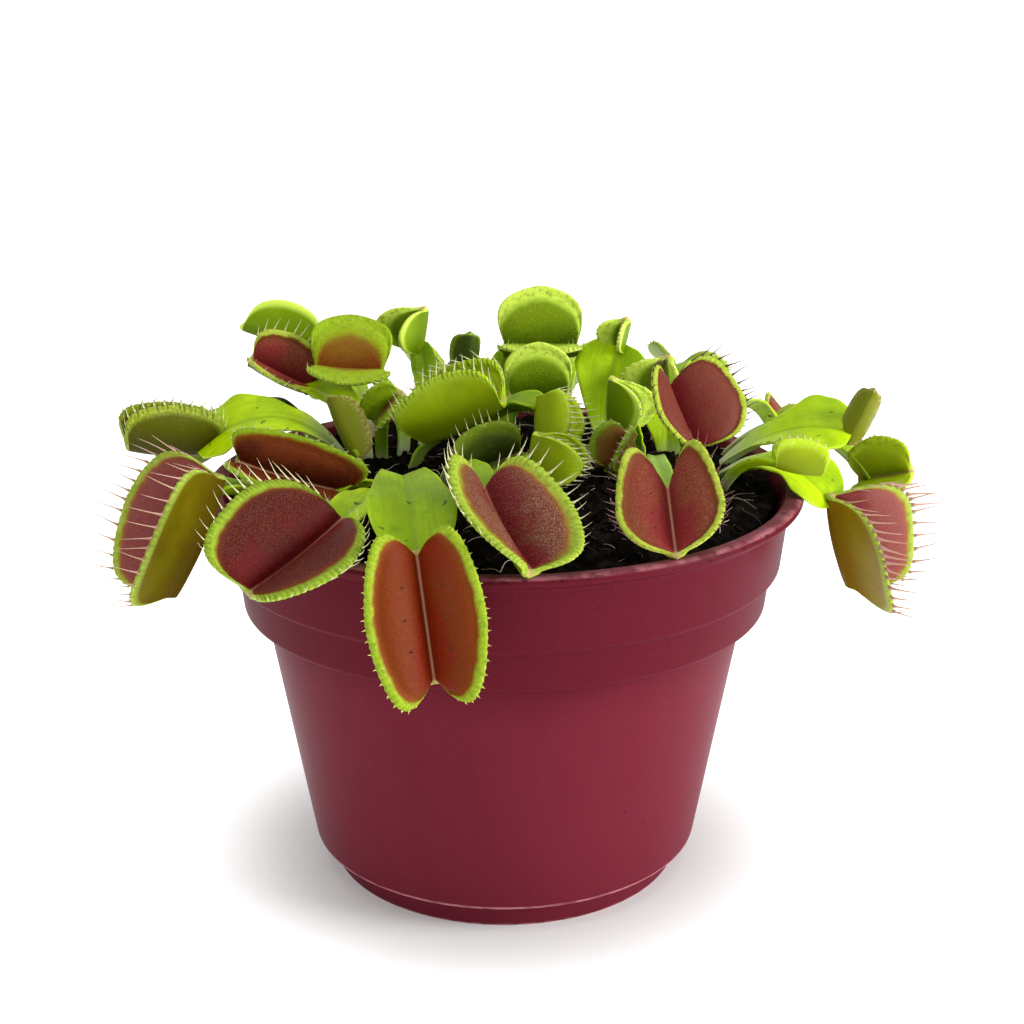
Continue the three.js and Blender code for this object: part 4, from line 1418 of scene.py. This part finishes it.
@dataclass
class Peat:
    """The mound of peat, with crumbs and fibres on it."""

    rings: int = 62
    sectors: int = 190
    roughness: float = 0.75
    rim: float = 54.5

    def build(self) -> None:
        """Makes the peat's piece and lets it stand for its solid."""
        angles = (np.arange(self.sectors) / self.sectors * 2 * math.pi)[None, :]
        wall = np.array([(0, 4.3), (34.8, 4.3), (35.4, 6.4), (38.6, 7.4), (47.6, 57.7), (51.6, 59.5),
                         (52.6, 65.9)])
        radius = wall[:, :1]
        height = np.broadcast_to(wall[:, 1:], (len(wall), self.sectors))
        low = np.stack([radius * np.cos(angles), radius * np.sin(angles), height], -1)
        radius = (self.rim * np.linspace(1, 0, self.rings) ** 0.9)[:, None]
        x, y = radius * np.cos(angles), radius * np.sin(angles)
        away = ease(self.rim - radius, 0.0, 2.5)
        height = soil_height(x, y) + away * self.roughness * self.lumps(x, y)
        high = np.stack([x, y, height], -1)
        points = np.concatenate([low, high])
        top = np.concatenate([np.zeros(len(wall)), np.where(np.arange(self.rings) > 1, 1.0, 0.0)])
        top = np.broadcast_to(top[:, None], points.shape[:2])
        finish = PeatFinish()
        shell = Shell()
        shell.grid(points, {"top": top}, loop=True)
        piece = placed("peat_mound", shell.mesh("peat_mound", [finish.ground()]))
        values = {"Crumb Finish": finish.crumbs(), "Fibre Finish": finish.fibres()}
        LitterTree().grow(piece, values, ("top", "crumb", "fibre"))
        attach(piece, BODY)
        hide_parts("soil")
        log.info("peat: %d faces", len(piece.data.polygons))

    def lumps(self, x: np.ndarray, y: np.ndarray) -> np.ndarray:
        """Gives small unevenness, as a sum of waves that run every way.

        Args:
            x: Places across the pot.
            y: Places from its front to its back.

        Returns:
            The height of the lumps at each place, between about -1 and 1.
        """
        chance = np.random.default_rng(5)
        total = np.zeros_like(x)
        for length, height in ((9.0, 0.5), (5.0, 0.4), (2.6, 0.3), (1.5, 0.18)):
            for _ in range(5):
                angle, phase = chance.uniform(0, 2 * math.pi, 2)
                along = x * math.cos(angle) + y * math.sin(angle)
                total += height * np.sin(along * 2 * math.pi / length + phase)
        return total / 1.6


@dataclass(frozen=True)
class Lamp:
    """A soft square light that looks at the plant."""

    name: str
    place: Triple
    size: float
    power: float

    def build(self) -> None:
        """Hangs the lamp."""
        light = bpy.data.lights.new(self.name, "AREA")
        light.size, light.energy = self.size, self.power
        lamp = bpy.data.objects.new(self.name, light)
        bpy.context.scene.collection.objects.link(lamp)
        way = unit(np.array(self.place) - np.array(LAMP_TARGET))
        lamp.location = self.place
        lamp.rotation_euler = (math.acos(way[2]), 0, math.atan2(way[0], -way[1]))


@dataclass
class Studio:
    """The camera, the pale floor and the soft light."""

    eye: Triple = (0.0, -0.3481, 0.1867)
    pitch: float = 17.86
    yaw: float = 0.25
    lens: float = 62.75
    floor_reach: float = 14.0
    glow: float = 0.4
    lamps: tuple[Lamp, ...] = (
        Lamp("key", (1.2, -0.36, 0.42), 0.6, 20.0),
        Lamp("fill", (-0.9, -0.85, 0.5), 1.2, 2.2),
        Lamp("top", (0.0, -0.1, 1.3), 1.1, 8.0),
        Lamp("back", (-0.3, 1.1, 0.7), 1.0, 2.0),
    )

    def camera(self) -> None:
        """Sets the camera up as the photograph was taken."""
        camera = bpy.data.cameras.new("camera")
        camera.lens, camera.sensor_width = self.lens, SENSOR_WIDTH
        camera.clip_start, camera.clip_end = 0.01, 60.0
        stand = bpy.data.objects.new("camera", camera)
        bpy.context.scene.collection.objects.link(stand)
        stand.location = self.eye
        stand.rotation_euler = (math.radians(90 - self.pitch), 0, math.radians(-self.yaw))
        bpy.context.scene.camera = stand

    def floor(self) -> None:
        """Lays the pale floor, which glows as painted light: faintly round the pot's foot, as a painted
        shadow, and brightly further off.
        """
        reach = self.floor_reach
        corners = [(-reach, -reach, 0), (reach, -reach, 0), (reach, reach, 0), (-reach, reach, 0)]
        mesh = bpy.data.meshes.new("floor")
        mesh.from_pydata(corners, [], [(0, 1, 2, 3)])
        paint = Paint("floor", Base_Color=(0.7, 0.7, 0.7, 1), Roughness=0.9, Specular_IOR_Level=0.05,
                      Emission_Color=(1, 1, 1, 1))
        bench = paint.bench
        away = bench.node("ShaderNodeVectorMath", {0: bench.place()}, operation="LENGTH")
        # Painted light and shadow: the floor's glow is faint round the pot's foot and rises to full a few
        # centimetres out.
        paint.feed("Emission Strength", bench.step(away.outputs["Value"], 0.036, 0.078, 0.18, 0.88))
        mesh.materials.append(paint.material)
        placed("floor", mesh)

    def light(self) -> None:
        """Lights the scene softly."""
        scene = bpy.context.scene
        world = bpy.data.worlds.new("studio")
        world.use_nodes = True
        background = world.node_tree.nodes["Background"]
        background.inputs["Color"].default_value = (1, 1, 1, 1)
        background.inputs["Strength"].default_value = self.glow
        scene.world = world
        scene.view_settings.view_transform = "Standard"
        for lamp in self.lamps:
            lamp.build()


# Each leaf as it grows: foot on the peat, the point that pulls its stalk into a bow, the joint of
# stalk and trap, the midrib to its tip, the way the mouth faces, and the lobes' width
LEAVES = (
    # Front, over and inside the rim
    Leaf("front_hanging", (-21, -7), (-19, -34, 103), (-15, -60, 86), (2.9, -6, -20.2), (0.06, -0.95, 0.3),
         11.4, Gape.OPEN, 17, TrapLook.COPPER, 22, 0.13, shoulders=(0.8, 0.75), beads=0.6, comb=(0.3, 1.0),
         near=True, spikes=SpikeLook.LIME),
    Leaf("front_middle", (-14, -6), (-8, -22, 99), (-3.7, -42, 92.6), (8, -18, -9), (0.36, -0.39, 0.84),
         12.8, Gape.OPEN, 6, TrapLook.RUSSET, 18, 0.26, shoulders=(0.6, 0.5), beads=1.0, comb=(1.9, -0.1),
         near=True),
    Leaf("front_left", (-25, -7), (-20.5, -33, 94), (-28.6, -48.5, 89), (-14.5, -13.3, -8.6),
         (-0.05, -0.5, 0.86), 15, Gape.OPEN, 9, TrapLook.MAROON, 20, 0.36, shoulders=(0.05, 0.6), beads=1.0,
         comb=(1.3, 0.3), near=True, wings=BladeLook.BRIGHT),
    Leaf("left_behind", (-28, -3), (-25, -12, 88), (-31.5, -18, 84.5), (-19, -2, 6.5), (0.3, -0.7, 0.65),
         8.5, Gape.AJAR, 6, TrapLook.RUST, 17, 0.34, 1.8, near=True),
    Leaf("left_hanging", (-30, 0), (-46, -13, 84), (-54, -27, 90), (-9.5, -3, -21.5), (-0.85, -0.35, 0.35),
         17, Gape.AJAR, 9, TrapLook.PINK, 18, shoulders=(0.4, 0.6), beads=0.7, near=True,
         spikes=SpikeLook.ROSE),
    Leaf("far_left", (-28, 4), (-42, 3, 104), (-61, 4, 87.5), (-14, -6.5, 2.5), (0.17, 0.13, 0.98),
         9.5, Gape.SHUT, 18, TrapLook.OLIVE, 15, twist=-25, fold=8, beads=1.0, wings=BladeLook.BRIGHT),
    Leaf("front_right", (31, 0), (27, -22, 101), (29.4, -41, 92), (0.8, -9.6, -8.6), (-0.14, -0.67, 0.73),
         10.7, Gape.OPEN, 4, TrapLook.CRIMSON, 19, 0.3, shoulders=(1.7, 0.3), beads=0.5, comb=(1.3, 0.4),
         near=True, spikes=SpikeLook.PURPLE, wings=BladeLook.PALE),
    Leaf("right_centre", (35, 6), (40, -3, 88), (36.6, -16, 92.8), (-4.8, 5.5, 10.4), (0.6, -0.62, 0.5),
         14, Gape.OPEN, 5, TrapLook.WINE, 19, 0.36, shoulders=(0.5, 1.1), beads=0.5, comb=(0.4, 1.3),
         near=True, spikes=SpikeLook.PURPLE, wings=BladeLook.PALE),
    Leaf("right_hanging", (38, 6), (54, -4, 94), (65.5, -10, 80.8), (5, 2, -18.4), (0.9, -0.42, 0.17),
         17, Gape.AJAR, 17, TrapLook.AMBER, 18, twist=14, fold=14, shoulders=(0.15, 0.9), beads=0.7,
         near=True, stout=1.7, spikes=SpikeLook.ROSE, wings=BladeLook.BRIGHT),
    # Middle of the pot
    Leaf("centre_shut", (-20, 4), (-19, 4, 87), (-15.5, 2, 90), (14.5, -6, 9), (-0.51, 0.05, 0.85),
         12, Gape.SHUT, 4, TrapLook.LIME, 17, 0.34, beads=1.0, near=True, wings=BladeLook.PALE),
    Leaf("centre_nodding", (-14, 2), (-3, 9, 99), (8, -1, 98.5), (0, -4, -8.5), (0.95, -0.3, 0.1),
         8.5, Gape.HALF, 10, TrapLook.LIME, 14, near=True),
    Leaf("centre_round", (6, -6), (6, -8, 85), (6.5, -15, 86.5), (0.5, 0.5, 8), (0.95, -0.3, 0.2),
         10.5, Gape.SHUT, 3, TrapLook.LIME, 14, 0.3, near=True),
    Leaf("centre_dark", (-11, -2), (-10, -10, 88), (-7, -12.5, 87), (10, 2, 3), (0, -0.6, 0.8),
         8, Gape.AJAR, 4, TrapLook.GROVE, 13),
    Leaf("centre_low", (21, 3), (21, -2, 84), (21.5, -4.5, 85.5), (3.5, 3, 6), (-0.5, -0.5, 0.4),
         6.5, Gape.HALF, 3, TrapLook.TAWNY, 9, 0.2),
    Leaf("centre_arched", (1, 11), (-3, 14, 92), (1.5, 16, 95), (11.5, 0, 0), (0, -0.7, 0.7),
         11.5, Gape.AJAR, 7, TrapLook.FRESH, 22, 0.12, 1.4, beads=0.1, lobes=(0.05, 1.6),
         spikes=SpikeLook.LIME),
    Leaf("centre_high", (2, 20), (-4, 28, 92), (0.5, 34, 101), (15, 0, 0), (0, -0.55, 0.83),
         14, Gape.AJAR, 8, TrapLook.FRESH, 26, 0.2, 1.6, beads=0.1, lobes=(0.05, 1.0),
         spikes=SpikeLook.LIME),
    Leaf("bud_dark", (-6, 14), (-7, 18, 92), (-8.5, 24, 99), (1, 0, 7.4), (-0.2, 0.9, 0),
         4, Gape.BUD, 3, TrapLook.GROVE, 7, 0.1, shoulders=(0.1, 0), beads=0),
    # Left behind
    Leaf("bud_left", (-26, -1), (-28, -2, 84), (-29.3, -1.6, 87), (-5, 3, 11.3), (0.5, 0.8, 0),
         4.4, Gape.BUD, 3, TrapLook.BUDDING, 8, 0.12, shoulders=(0.1, 0), beads=0),
    Leaf("left_low", (-25, 8), (-26, 8, 90), (-26.4, 8.6, 91.6), (4.6, 0.5, 5.6), (-0.3, -0.8, 0.3),
         6, Gape.HALF, 3, TrapLook.BLUSH, 12),
    Leaf("left_broad", (-28, 9), (-30, 13, 97), (-42, 22, 95.5), (-11, -1, 6), (0.47, -0.57, 0.67),
         9, Gape.AJAR, 13, TrapLook.CRIMSON, 13, wings=BladeLook.BRIGHT),
    Leaf("left_ruddy", (-23, 12), (-18, 18, 90), (-26, 18.5, 99.5), (-13.5, -0.5, 1), (0, -0.45, 0.9),
         13, Gape.OPEN, 4, TrapLook.BLUSH, 24, 0.2, 1.0, beads=0.15, lobes=(1.0, 0.05),
         spikes=SpikeLook.LIME),
    Leaf("left_pale", (-18, 16), (-15, 24, 92), (-19.5, 32, 101), (1.5, 0, 9), (-0.75, -0.5, 0.3),
         9.4, Gape.HALF, 6, TrapLook.FRESH, 12, 0.1, shoulders=(0.2, 0.2), beads=0.1, lobes=(0.05, 0.05)),
    Leaf("left_high", (-30, 18), (-34, 28, 96), (-41, 36, 102.5), (-15.5, -1, 4), (0.1, 0.6, 0.8),
         7.4, Gape.HALF, 8, TrapLook.FRESH, 14, 0.12, shoulders=(0.1, 0), beads=0.1, lobes=(0.05, 0.05)),
    # Right behind
    Leaf("right_fan", (24, 18.5), (19.4, 21.5, 91), (24, 27.5, 102), (1.5, 1, 6.5), (-0.6, -0.6, 0.3),
         5, Gape.HALF, 17, TrapLook.FRESH, 9, 0.1, shoulders=(0.1, 0), beads=0.1, wings=BladeLook.BRIGHT),
    Leaf("right_young", (28, 10), (29, 10, 89), (23, 8, 90), (0, 1, 10), (0.9, -0.4, 0),
         9, Gape.HALF, 12, TrapLook.FRESH, 9, 0.1, shoulders=(0.3, 0), beads=0.1, wings=BladeLook.BRIGHT),
    Leaf("right_upright", (34, 17), (36, 20, 86), (33.5, 21, 92), (1, 1, 9.5), (-0.5, -0.7, 0.3),
         9, Gape.AJAR, 13, TrapLook.FRESH, 10, 0.1, shoulders=(0.2, 0.1), beads=0.1,
         wings=BladeLook.BRIGHT),
    Leaf("right_bud", (41, 14), (56, 10, 93.5), (71, 8, 87.5), (4.6, 0, 10.4), (0.3, 0.9, 0.2),
         3.5, Gape.BUD, 19, TrapLook.BUDDING, 8, 0.1, twist=26, fold=12, shoulders=(0.1, 0), beads=0,
         wings=BladeLook.BRIGHT),
    Leaf("right_lying", (42, -4), (45, -15, 94), (53, -17, 90.5), (8, 0, -1.5), (0, 0.2, 0.95),
         5.5, Gape.SHUT, 3, TrapLook.LIME, 11, 0.2, wings=BladeLook.BRIGHT),
    Leaf("right_edge", (43, 21), (60, 22, 99), (75, 11, 78), (9, -4, 3), (-0.3, -0.75, 0.55),
         9, Gape.AJAR, 7, TrapLook.LIME, 13, 0.15),
    # Back, leaning out over the rim
    Leaf("back_right_low", (40, 25), (51, 35, 99), (60, 42, 83), (7, 5, -9), (0.7, 0.4, 0.5),
         10, Gape.AJAR, 7, TrapLook.CRIMSON, 12),
    Leaf("back_right", (32, 26), (38, 40, 103), (40, 55, 92), (4, 10, -7), (0.3, 0.5, 0.7),
         11, Gape.OPEN, 8, TrapLook.MAROON, 13),
    Leaf("back_middle", (12, 26), (14, 44, 104), (14, 58, 92), (1, 11, -8), (0, 0.6, 0.7),
         11, Gape.OPEN, 9, TrapLook.COPPER, 13, wings=BladeLook.BRIGHT),
    Leaf("back_left", (-8, 26), (-12, 40, 102), (-13, 55, 92), (-3, 11, -6), (-0.1, 0.4, 0.8),
         11, Gape.AJAR, 8, TrapLook.CRIMSON, 13),
    Leaf("back_left_wide", (-26, 24), (-34, 38, 102), (-38, 50, 91), (-6, 9, -6), (-0.3, 0.5, 0.8),
         10, Gape.OPEN, 8, TrapLook.MAROON, 12, wings=BladeLook.BRIGHT),
    Leaf("back_left_low", (-36, 14), (-47, 20, 104), (-60, 26, 84), (-9, 4, -7), (-0.6, 0.3, 0.7),
         9, Gape.HALF, 8, TrapLook.BLUSH, 11, wings=BladeLook.WITHERED),
)


def main() -> None:
    """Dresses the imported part: camera, pot, peat and leaves."""
    logging.basicConfig(level=logging.INFO, format="%(name)s: %(message)s", force=True)
    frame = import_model()
    log.info("frame: %d nodes", len(frame["nodes"]))
    studio = Studio()
    studio.camera()
    studio.floor()
    studio.light()
    Pot().build()
    Peat().build()
    Plant().build()


if __name__ == "__main__":
    main()
